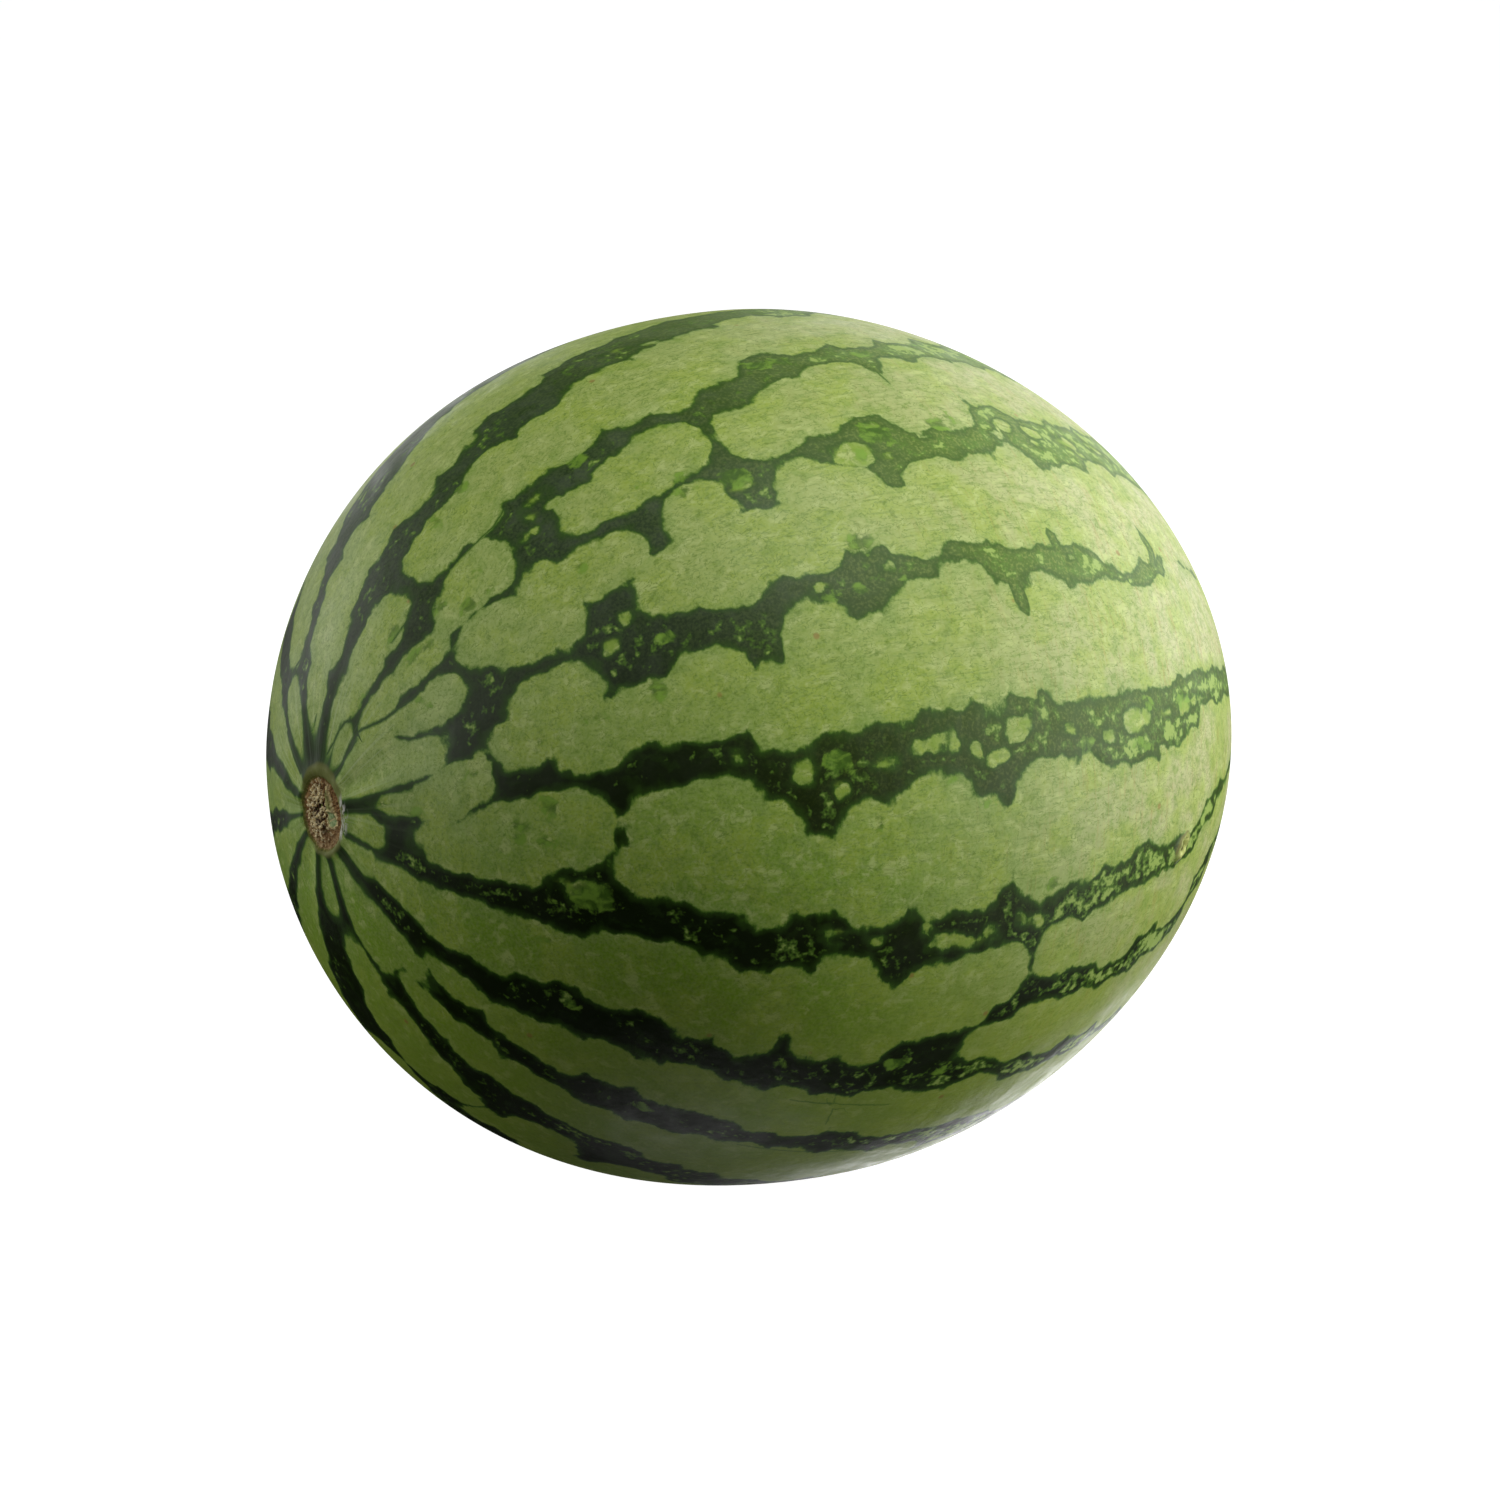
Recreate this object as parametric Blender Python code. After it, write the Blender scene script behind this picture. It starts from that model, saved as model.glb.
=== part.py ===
"""A whole oval watermelon, picked and lying on its side, as one solid fruit.

The long axis runs along X, with the stem scar at -X and the blossom end at +X. The fruit rests on a small
flat spot at z = 0. A point of the skin is given by its polar angle, 0 at the stem scar and 180 degrees at
the blossom end, and by its turn about the long axis, 0 on top and 90 degrees on the -Y side.
Lengths are in metres.
"""

import math

import bmesh
import bpy
from mathutils import Vector

# Driving dimensions of the fruit
LENGTH = 0.2534
DIAMETER = 0.220
STEM_SHOULDER = 0.0285
BLOSSOM_TAPER = -0.021
REST_CUT = 0.0016

# The stem scar: a corky dished disc inside a raised collar of rind, which is wider above the disc
SCAR_RADIUS = 0.0090
SCAR_DROP = 0.0012
SCAR_DEPTH = 0.0010
SCAR_EDGE = 0.0004
COLLAR_RADIUS = 0.0105
COLLAR_WIDTH = 0.0017
COLLAR_HEIGHT = 0.0009
CORK_HEIGHT = 0.0006
CORK_GRAIN = 0.0021

# The blossom scar: a small dished button with a low rim, in a faint dimple
BUTTON_RADIUS = 0.0042
BUTTON_RIM_WIDTH = 0.0011
BUTTON_RIM_HEIGHT = 0.0006
DIMPLE_RADIUS = 0.012
DIMPLE_DEPTH = 0.0010

# Flutes of the rind that run out from both ends, and the slow swell of the whole body
STEM_FLUTE_HEIGHT = 0.0005
STEM_FLUTE_REACH = 0.034
BLOSSOM_FLUTE_HEIGHT = 0.0003
BLOSSOM_FLUTE_REACH = 0.024
FLUTE_COUNTS = (9, 14)
FLUTE_PHASES = (0.6, 2.1)
SWELL_HEIGHT = 0.0004
SWELL_LOBES = 3
SWELL_PHASE = 1.1

# The mesh: segments round the axis, and ring steps in degrees, each kept up to a polar angle
SEGMENTS = 76
STEM_RING_STEPS = ((6.4, 0.8), (10.0, 1.2), (22.0, 3.0))
BODY_RING_STEPS = ((158.0, 4.0),)
BLOSSOM_RING_STEPS = ((170.0, 3.0), (175.0, 1.25), (179.4, 0.55))

RIND_GREEN = (0.170, 0.290, 0.070)
RIND_ROUGHNESS = 0.42


def bell(distance, width):
    """A smooth bump, 1 where distance is 0 and close to 0 past twice the width."""
    return math.exp(-((distance / width) ** 2))


def inside_of(radius, edge, softness):
    """1 inside a round edge and 0 outside it, with a soft step between."""
    return 1 / (1 + math.exp((radius - edge) / softness))


def ring_angles():
    """Polar angles of the rings, in radians, from just off the stem pole to just off the blossom pole."""
    angles = []
    angle = 0.0
    for until, step in STEM_RING_STEPS + BODY_RING_STEPS + BLOSSOM_RING_STEPS:
        while angle + step <= until + 1e-6:
            angle += step
            angles.append(math.radians(angle))
    return angles


def profile(polar):
    """Place along the axis and distance from it, of the smooth body."""
    toward_stem = math.cos(polar)
    fullness = STEM_SHOULDER if toward_stem > 0 else BLOSSOM_TAPER
    shoulder = 4 * fullness * toward_stem**2 * (1 - toward_stem**2)
    return -LENGTH / 2 * toward_stem, DIAMETER / 2 * math.sin(polar) * (1 + shoulder)


def outward(polar):
    """The skin's outward direction in the half plane of the profile, as (along the axis, away from it)."""
    step = 1e-4
    before = profile(polar - step)
    after = profile(polar + step)
    along = after[0] - before[0]
    away = after[1] - before[1]
    size = math.hypot(along, away)
    return -away / size, along / size


def flutes(turn):
    """The uneven flutes round the axis, from -1 to 1."""
    total = 0.0
    for count, phase in zip(FLUTE_COUNTS, FLUTE_PHASES):
        total += math.cos(count * turn + phase)
    return total / len(FLUTE_COUNTS)


def cork(up, across):
    """The lumpy cork of the stem scar, from about -1 to 1."""
    lumps = math.sin(up / CORK_GRAIN + 0.7) * math.cos(across / CORK_GRAIN - 0.4)
    crumbs = math.sin((1.6 * up + 0.8 * across) / CORK_GRAIN) * math.cos((1.5 * across - up) / CORK_GRAIN)
    return 0.6 * lumps + 0.4 * crumbs


def relief(polar, turn, radius):
    """Height of the skin above the smooth body."""
    height = SWELL_HEIGHT * math.sin(polar) ** 2 * math.cos(SWELL_LOBES * turn + SWELL_PHASE)
    if polar < math.pi / 2:
        up = radius * math.cos(turn) + SCAR_DROP
        across = radius * math.sin(turn)
        in_scar = inside_of(math.hypot(up, across), SCAR_RADIUS, SCAR_EDGE)
        in_collar = inside_of(radius, COLLAR_RADIUS, COLLAR_WIDTH)
        height += (1 - in_scar) * COLLAR_HEIGHT * bell(radius - COLLAR_RADIUS, COLLAR_WIDTH)
        height += in_scar * (CORK_HEIGHT * cork(up, across) - SCAR_DEPTH)
        height += (1 - in_collar) * STEM_FLUTE_HEIGHT * bell(radius, STEM_FLUTE_REACH) * flutes(turn)
    else:
        in_button = inside_of(radius, BUTTON_RADIUS, BUTTON_RIM_WIDTH)
        height += BUTTON_RIM_HEIGHT * bell(radius - BUTTON_RADIUS, BUTTON_RIM_WIDTH)
        height += (1 - in_button) * BLOSSOM_FLUTE_HEIGHT * bell(radius, BLOSSOM_FLUTE_REACH) * flutes(turn)
        height -= DIMPLE_DEPTH * bell(radius, DIMPLE_RADIUS)
    return height


def skin_point(polar, turn):
    """A point of the skin, about the middle of the fruit."""
    along, radius = profile(polar)
    lean_along, lean_away = outward(polar)
    height = relief(polar, turn, radius)
    radius += lean_away * height
    along += lean_along * height
    return Vector((along, -radius * math.sin(turn), radius * math.cos(turn)))


def pole_point(polar):
    """The point where the axis meets the skin."""
    along = profile(polar)[0]
    height = relief(polar, 0.0, 0.0)
    return Vector((along - height if polar == 0 else along + height, 0, 0))


def fruit_mesh():
    """A globe of rings and segments, with each point moved to the skin."""
    rings = ring_angles()
    bm = bmesh.new()
    bmesh.ops.create_uvsphere(bm, u_segments=SEGMENTS, v_segments=len(rings) + 1, radius=1.0)
    for vert in bm.verts:
        place = vert.co.normalized()
        ring = round(math.acos(max(-1.0, min(1.0, place.z))) / math.pi * (len(rings) + 1))
        if ring == 0:
            vert.co = pole_point(0.0)
        elif ring == len(rings) + 1:
            vert.co = pole_point(math.pi)
        else:
            vert.co = skin_point(rings[ring - 1], math.atan2(place.y, place.x))
    bmesh.ops.recalc_face_normals(bm, faces=bm.faces)
    bmesh.ops.triangulate(bm, faces=bm.faces)
    mesh = bpy.data.meshes.new("watermelon")
    bm.to_mesh(mesh)
    bm.free()
    mesh.shade_smooth()
    return mesh


def rind_material():
    """The waxy green rind, in one middle green."""
    material = bpy.data.materials.new("waxy_rind")
    material.use_nodes = True
    shader = material.node_tree.nodes["Principled BSDF"]
    shader.inputs["Base Color"].default_value = (*RIND_GREEN, 1.0)
    shader.inputs["Roughness"].default_value = RIND_ROUGHNESS
    shader.inputs["Metallic"].default_value = 0.0
    material.diffuse_color = (*RIND_GREEN, 1.0)
    return material


def middle_of_box(mesh):
    """The middle of the mesh's box along X and along Y."""
    places_x = [vert.co.x for vert in mesh.vertices]
    places_y = [vert.co.y for vert in mesh.vertices]
    return (min(places_x) + max(places_x)) / 2, (min(places_y) + max(places_y)) / 2


def rest_cutter(floor):
    """A block whose top face lies in the plane that the fruit rests on."""
    side = DIAMETER
    bpy.ops.mesh.primitive_cube_add(size=side, location=(0, 0, floor - side / 2))
    cutter = bpy.context.object
    cutter.name = "rest_cutter"
    cutter.hide_render = True
    cutter.display_type = "WIRE"
    return cutter


def build():
    for old in list(bpy.data.objects):
        bpy.data.objects.remove(old)
    parts = bpy.data.collections.new("watermelon")
    cutters = bpy.data.collections.new("cutters")
    bpy.context.scene.collection.children.link(parts)
    bpy.context.scene.collection.children.link(cutters)

    mesh = fruit_mesh()
    mesh.materials.append(rind_material())
    fruit = bpy.data.objects.new("watermelon", mesh)
    parts.objects.link(fruit)

    lowest = min(vert.co.z for vert in mesh.vertices)
    floor = lowest + REST_CUT
    cutter = rest_cutter(floor)
    for holder in list(cutter.users_collection):
        holder.objects.unlink(cutter)
    cutters.objects.link(cutter)

    cut = fruit.modifiers.new("flat resting spot", "BOOLEAN")
    cut.operation = "DIFFERENCE"
    cut.object = cutter

    # The box's bottom centre becomes the origin
    middle_x, middle_y = middle_of_box(mesh)
    to_origin = Vector((-middle_x, -middle_y, -floor))
    fruit.location += to_origin
    cutter.location += to_origin


build()
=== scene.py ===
"""A whole striped watermelon lying on its side: its grown rind, its corky stem scar, its blossom scar and an
old healed wound. Lengths are in metres, +Z is up, and the fruit rests at z = 0 with its stem scar at -X.

A point of the rind is given by its polar angle, 0 at the stem scar and 180 degrees at the blossom scar, and
by its turn about the long axis, 0 on top and 90 degrees on the -Y side, which the camera sees.
"""

import math

import bpy
import numpy as np
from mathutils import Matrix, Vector, noise


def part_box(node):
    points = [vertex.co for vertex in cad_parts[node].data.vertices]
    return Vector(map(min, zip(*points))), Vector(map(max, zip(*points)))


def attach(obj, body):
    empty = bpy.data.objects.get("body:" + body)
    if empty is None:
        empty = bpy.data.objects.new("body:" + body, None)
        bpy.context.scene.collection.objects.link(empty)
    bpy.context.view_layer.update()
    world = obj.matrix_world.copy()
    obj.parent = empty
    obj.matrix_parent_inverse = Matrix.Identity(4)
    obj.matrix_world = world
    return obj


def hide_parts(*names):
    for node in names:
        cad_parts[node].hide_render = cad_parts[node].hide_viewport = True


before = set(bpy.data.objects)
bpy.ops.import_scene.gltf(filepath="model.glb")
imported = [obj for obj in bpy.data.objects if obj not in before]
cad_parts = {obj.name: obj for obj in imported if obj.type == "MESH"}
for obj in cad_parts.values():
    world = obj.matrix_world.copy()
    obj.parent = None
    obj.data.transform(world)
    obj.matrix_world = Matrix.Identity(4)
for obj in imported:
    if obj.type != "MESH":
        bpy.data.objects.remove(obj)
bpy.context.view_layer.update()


# The camera
# A long lens that looks a little down on the fruit, from its stem end's side, with no depth of field.
CAMERA_AZIMUTH = math.radians(-34.13)
CAMERA_ELEVATION = math.radians(12.49)
CAMERA_DISTANCE = 1.6
LENS_MM = 152.1
AIM_RIGHT = -0.0014
AIM_UP = -0.0017

fruit_low, fruit_high = (Vector(corner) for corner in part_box("watermelon"))
fruit_middle = (fruit_low + fruit_high) / 2

back = Vector(
    (
        math.sin(CAMERA_AZIMUTH) * math.cos(CAMERA_ELEVATION),
        -math.cos(CAMERA_AZIMUTH) * math.cos(CAMERA_ELEVATION),
        math.sin(CAMERA_ELEVATION),
    )
)
right = Vector((math.cos(CAMERA_AZIMUTH), math.sin(CAMERA_AZIMUTH), 0))
aim = fruit_middle + right * AIM_RIGHT + back.cross(right) * AIM_UP
camera = bpy.data.objects.new("camera", bpy.data.cameras.new("camera"))
camera.data.lens = LENS_MM
camera.data.sensor_width = 36
camera.location = aim + back * CAMERA_DISTANCE
camera.rotation_euler = back.to_track_quat("Z", "Y").to_euler()
bpy.context.collection.objects.link(camera)
bpy.context.scene.camera = camera


# The floor and the light
# A wide table of opal sheet that glows evenly. Soft boxes stand on the right, above, and weaker ones behind
# and on the left, and three shine up through the sheet. The side toward the camera has no light of its own.
FLOOR_SIZE = 16.0
FLOOR_WHITE = 0.2
FLOOR_GLOW = 1.0
SURROUND_WHITE = 1.0
LIGHT_DISTANCE = 1.35
# Each light: azimuth and elevation seen from the fruit, width, height and power in watts
SOFT_LIGHTS = {
    "top_box": (22, 62, 0.75, 0.75, 10.3),
    "right_front_strip": (37, 4, 0.7, 0.75, 6.4),
    "right_box": (60, 12, 0.75, 1.15, 8.4),
    "right_rear_box": (92, 20, 0.8, 1.15, 7.4),
    "rear_panel": (128, 18, 0.8, 1.1, 3.4),
    "back_panel": (207, 8, 0.9, 0.8, 4.4),
    "left_panel": (284, 38, 0.9, 0.8, 2.5),
    "left_strip": (254, 8, 0.5, 0.7, 3.8),
    "rear_under_strip": (130, -33, 0.45, 0.4, 2.6),
    "rear_top_strip": (165, 9, 0.5, 0.4, 1.1),
    "right_under_strip": (56, -25, 0.75, 0.75, 1.7),
    "under_panel": (146, -82, 0.6, 0.8, 1.6),
}


def add(tree, kind, links=None, **settings):
    """Adds a node with its settings, feeds its inputs values or outputs, and returns its first output."""
    node = tree.nodes.new(kind)
    for name, value in settings.items():
        setattr(node, name, value)
    for socket, value in (links or {}).items():
        if isinstance(value, bpy.types.NodeSocket):
            tree.links.new(value, node.inputs[socket])
        else:
            node.inputs[socket].default_value = value
    return next((socket for socket in node.outputs if socket.enabled), None)


def linear(hex_colour, alpha=1.0):
    """An sRGB hex colour as a linear one."""
    shares = [int(hex_colour[i : i + 2], 16) / 255 for i in (1, 3, 5)]
    return (*(c / 12.92 if c <= 0.04045 else ((c + 0.055) / 1.055) ** 2.4 for c in shares), alpha)


def new_finish(name):
    """A new material, with its node tree and its shader."""
    material = bpy.data.materials.new(name)
    material.use_nodes = True
    return material, material.node_tree, material.node_tree.nodes["Principled BSDF"]


bpy.context.scene.view_settings.view_transform = "Standard"

# Opal acrylic, sanded matt: an even soft white with no grain
opal, _, opal_shader = new_finish("opal_acrylic")
opal_shader.inputs["Base Color"].default_value = (FLOOR_WHITE, FLOOR_WHITE, FLOOR_WHITE, 1)
opal_shader.inputs["Roughness"].default_value = 0.7
opal_shader.inputs["Emission Color"].default_value = (1, 1, 1, 1)
opal_shader.inputs["Emission Strength"].default_value = FLOOR_GLOW

bpy.ops.mesh.primitive_plane_add(size=FLOOR_SIZE, location=(0, 0, -0.0002))
floor = bpy.context.object
floor.name = "floor"
floor.data.materials.append(opal)
floor.visible_diffuse = False
floor.visible_glossy = False
floor.visible_shadow = False

world = bpy.data.worlds.new("pale_room")
world.use_nodes = True
world.node_tree.nodes["Background"].inputs["Color"].default_value = (SURROUND_WHITE,) * 3 + (1,)
world.cycles_visibility.diffuse = False
world.cycles_visibility.glossy = False
bpy.context.scene.world = world

for name, (azimuth, elevation, width, height, power) in SOFT_LIGHTS.items():
    turn_to, rise = math.radians(azimuth), math.radians(elevation)
    toward = Vector(
        (math.sin(turn_to) * math.cos(rise), -math.cos(turn_to) * math.cos(rise), math.sin(rise))
    )
    panel = bpy.data.lights.new(name, "AREA")
    panel.shape = "RECTANGLE"
    panel.size = width
    panel.size_y = height
    panel.energy = power
    holder = bpy.data.objects.new(name, panel)
    holder.location = fruit_middle + toward * LIGHT_DISTANCE
    holder.rotation_euler = toward.to_track_quat("Z", "Y").to_euler()
    bpy.context.collection.objects.link(holder)


# The rind
# One hard waxy skin that grew round the whole fruit: an oval body, fuller toward the stem, with shallow
# flutes that run out of both scars. Its dark stripes lie between pale lobes of the ground colour.
LENGTH = 0.2534
DIAMETER = 0.220
STEM_SHOULDER = 0.0285
BLOSSOM_TAPER = -0.021
SCAR_RADIUS = 0.0093
SCAR_DROP = 0.0012
SCAR_ASIDE = 0.0013
SCAR_DEPTH = 0.0010
SCAR_EDGE = 0.0004
COLLAR_RADIUS = 0.0105
COLLAR_WIDTH = 0.0017
COLLAR_HEIGHT = 0.0005
STEM_CAP = 0.0150
BUTTON_RADIUS = 0.0042
BUTTON_RIM_WIDTH = 0.0011
BUTTON_RIM_HEIGHT = 0.0006
DIMPLE_RADIUS = 0.012
DIMPLE_DEPTH = 0.0010
BLOSSOM_CAP = 0.0105
STEM_FLUTE_HEIGHT = 0.0005
STEM_FLUTE_REACH = 0.034
BLOSSOM_FLUTE_HEIGHT = 0.0003
BLOSSOM_FLUTE_REACH = 0.024
FLUTE_COUNTS = (9, 14)
FLUTE_PHASES = (0.6, 2.1)
SWELL_HEIGHT = 0.0004
SWELL_LOBES = 3
SWELL_PHASE = 1.1
# An old wound that the rind healed over, on the camera's right: its polar angle, turn and piece of rind
WOUND_POLAR = math.radians(120.8)
WOUND_TURN = math.radians(100)
WOUND_CAP = 0.0085
# The finer pieces at both ends and at the wound lie on the rind, which is sunk a little under them
SUNK_UNDER = 0.0006
SUNK_MARGIN = 0.0030
SUNK_SOFT = 0.0005
WOUND_SUNK = 2
RIND_SEGMENTS = 384
RIND_RINGS = 256
END_CROWDING = 0.25


def grown_body_tree():
    """Geometry Nodes that turn a globe into the oval body, and keep each point's polar angle and turn."""
    tree = bpy.data.node_groups.new("grown_body", "GeometryNodeTree")
    for name in ("Length", "Diameter", "Stem Shoulder", "Blossom Taper", "End Crowding"):
        tree.interface.new_socket(name, in_out="INPUT", socket_type="NodeSocketFloat")
    for name in ("Segments", "Rings"):
        tree.interface.new_socket(name, in_out="INPUT", socket_type="NodeSocketInt")
    tree.interface.new_socket("Rind", in_out="INPUT", socket_type="NodeSocketMaterial")
    tree.interface.new_socket("Geometry", in_out="OUTPUT", socket_type="NodeSocketGeometry")
    given = add(tree, "NodeGroupInput").node.outputs

    # A globe of radius 1, whose own polar angle is crowded toward both ends
    sizes = {"Segments": given["Segments"], "Rings": given["Rings"], "Radius": 1.0}
    globe = add(tree, "GeometryNodeMeshUVSphere", sizes)
    place = add(tree, "GeometryNodeInputPosition")
    parted = add(tree, "ShaderNodeSeparateXYZ", {0: place}).node.outputs
    turn = add(tree, "ShaderNodeMath", {0: parted["Y"], 1: parted["X"]}, operation="ARCTAN2")
    globe_polar = add(tree, "ShaderNodeMath", {0: parted["Z"]}, operation="ARCCOSINE")
    twice = add(tree, "ShaderNodeMath", {0: globe_polar, 1: 2.0}, operation="MULTIPLY")
    swing = add(tree, "ShaderNodeMath", {0: twice}, operation="SINE")
    crowd = add(tree, "ShaderNodeMath", {0: given["End Crowding"], 1: -0.5}, operation="MULTIPLY")
    polar = add(tree, "ShaderNodeMath", {0: crowd, 1: swing, 2: globe_polar}, operation="MULTIPLY_ADD")

    # The body's half width at that polar angle: a sine, made fuller or slimmer by its shoulder
    toward_stem = add(tree, "ShaderNodeMath", {0: polar}, operation="COSINE")
    squared = add(tree, "ShaderNodeMath", {0: toward_stem, 1: 2.0}, operation="POWER")
    rest = add(tree, "ShaderNodeMath", {0: 1.0, 1: squared}, operation="SUBTRACT")
    hump = add(tree, "ShaderNodeMath", {0: squared, 1: rest}, operation="MULTIPLY")
    hump = add(tree, "ShaderNodeMath", {0: hump, 1: 4.0}, operation="MULTIPLY")
    at_stem = add(tree, "ShaderNodeMath", {0: toward_stem, 1: 0.0}, operation="GREATER_THAN")
    either = {"Factor": at_stem, "A": given["Blossom Taper"], "B": given["Stem Shoulder"]}
    fullness = add(tree, "ShaderNodeMix", either, data_type="FLOAT")
    shoulder = add(tree, "ShaderNodeMath", {0: fullness, 1: hump, 2: 1.0}, operation="MULTIPLY_ADD")
    half_width = add(tree, "ShaderNodeMath", {0: polar}, operation="SINE")
    for share in (given["Diameter"], 0.5, shoulder):
        half_width = add(tree, "ShaderNodeMath", {0: half_width, 1: share}, operation="MULTIPLY")

    half_length = add(tree, "ShaderNodeMath", {0: given["Length"], 1: -0.5}, operation="MULTIPLY")
    along = add(tree, "ShaderNodeMath", {0: half_length, 1: toward_stem}, operation="MULTIPLY")
    forward = add(tree, "ShaderNodeMath", {0: turn}, operation="SINE")
    forward = add(tree, "ShaderNodeMath", {0: forward, 1: -1.0}, operation="MULTIPLY")
    forward = add(tree, "ShaderNodeMath", {0: forward, 1: half_width}, operation="MULTIPLY")
    upward = add(tree, "ShaderNodeMath", {0: turn}, operation="COSINE")
    upward = add(tree, "ShaderNodeMath", {0: upward, 1: half_width}, operation="MULTIPLY")
    spot = add(tree, "ShaderNodeCombineXYZ", {"X": along, "Y": forward, "Z": upward})
    body = globe
    for name, value in (("polar", polar), ("turn", turn)):
        kept = {"Geometry": body, "Name": name, "Value": value}
        body = add(tree, "GeometryNodeStoreNamedAttribute", kept, data_type="FLOAT")
    body = add(tree, "GeometryNodeSetPosition", {"Geometry": body, "Position": spot})
    body = add(tree, "GeometryNodeFlipFaces", {"Mesh": body})
    body = add(tree, "GeometryNodeRealizeInstances", {"Geometry": body})
    body = add(tree, "GeometryNodeSetMaterial", {"Geometry": body, "Material": given["Rind"]})
    add(tree, "NodeGroupOutput", {"Geometry": body})
    return tree


def made_by_nodes(name, tree, values, start=None):
    """The plain mesh object that a Geometry Nodes tree makes with these input values."""
    carrier = bpy.data.objects.new(name + "_start", start or bpy.data.meshes.new(name + "_start"))
    bpy.context.collection.objects.link(carrier)
    modifier = carrier.modifiers.new(name, "NODES")
    modifier.node_group = tree
    for item in tree.interface.items_tree:
        if item.in_out == "INPUT" and item.name in values:
            modifier[item.identifier] = values[item.name]
    shown = carrier.evaluated_get(bpy.context.evaluated_depsgraph_get())
    mesh = bpy.data.meshes.new_from_object(shown)
    mesh.name = name
    bpy.data.objects.remove(carrier)
    bpy.data.node_groups.remove(tree)
    piece = bpy.data.objects.new(name, mesh)
    bpy.context.collection.objects.link(piece)
    return piece


def bell(distance, width):
    """A smooth bump, 1 where distance is 0 and close to 0 past twice the width."""
    return np.exp(-((distance / width) ** 2))


def inside_of(radius, edge, softness):
    """1 inside a round edge and 0 outside it, with a soft step between."""
    return 1 / (1 + np.exp(np.clip((radius - edge) / softness, -40, 40)))


def profile(polar):
    """Place along the axis and distance from it, of the smooth body."""
    toward_stem = np.cos(polar)
    fullness = np.where(toward_stem > 0, STEM_SHOULDER, BLOSSOM_TAPER)
    shoulder = 4 * fullness * toward_stem**2 * (1 - toward_stem**2)
    return -LENGTH / 2 * toward_stem, DIAMETER / 2 * np.sin(polar) * (1 + shoulder)


def relief(polar, turn):
    """Height of the rind above the smooth body: its swell, its flutes, and the forms of both scars."""
    radius = profile(polar)[1]
    flutes = sum(np.cos(count * turn + phase) for count, phase in zip(FLUTE_COUNTS, FLUTE_PHASES)) / 2
    swell = SWELL_HEIGHT * np.sin(polar) ** 2 * np.cos(SWELL_LOBES * turn + SWELL_PHASE)
    from_scar = np.hypot(radius * np.cos(turn) + SCAR_DROP, radius * np.sin(turn) + SCAR_ASIDE)
    in_scar = inside_of(from_scar, SCAR_RADIUS, SCAR_EDGE)
    in_collar = inside_of(radius, COLLAR_RADIUS, COLLAR_WIDTH)
    stem = (1 - in_scar) * COLLAR_HEIGHT * bell(radius - COLLAR_RADIUS, COLLAR_WIDTH) - in_scar * SCAR_DEPTH
    stem += (1 - in_collar) * STEM_FLUTE_HEIGHT * bell(radius, STEM_FLUTE_REACH) * flutes
    in_button = inside_of(radius, BUTTON_RADIUS, BUTTON_RIM_WIDTH)
    blossom = BUTTON_RIM_HEIGHT * bell(radius - BUTTON_RADIUS, BUTTON_RIM_WIDTH)
    blossom += (1 - in_button) * BLOSSOM_FLUTE_HEIGHT * bell(radius, BLOSSOM_FLUTE_REACH) * flutes
    blossom -= DIMPLE_DEPTH * bell(radius, DIMPLE_RADIUS)
    return swell + np.where(polar < math.pi / 2, stem, blossom)


def sunk_under(polar, turn):
    """How far the rind is sunk where a finer piece lies on it."""
    radius = profile(polar)[1]
    at_stem, at_blossom = polar < math.pi / 4, polar > math.pi * 3 / 4
    sunk = inside_of(radius, STEM_CAP - SUNK_MARGIN, SUNK_SOFT) * at_stem
    sunk += inside_of(radius, BLOSSOM_CAP - SUNK_MARGIN, SUNK_SOFT) * at_blossom
    off_turn = (turn - WOUND_TURN + math.pi) % (2 * math.pi) - math.pi
    from_wound = np.hypot((polar - WOUND_POLAR) * LENGTH / 2, off_turn * radius)
    sunk += WOUND_SUNK * bell(from_wound, WOUND_CAP / 2.4)
    return SUNK_UNDER * sunk


def on_rind(polar, turn, lift=0.0):
    """Points of the finished rind about the fruit's middle, raised by lift, as rows of x, y, z."""
    step = 1e-4
    along, radius = profile(polar)
    before, after = profile(polar - step), profile(polar + step)
    lean = np.arctan2(after[1] - before[1], after[0] - before[0])
    height = relief(polar, turn) + lift
    along = along - np.sin(lean) * height
    radius = radius + np.cos(lean) * height
    return np.stack([along, -radius * np.sin(turn), radius * np.cos(turn)], -1)


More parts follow.
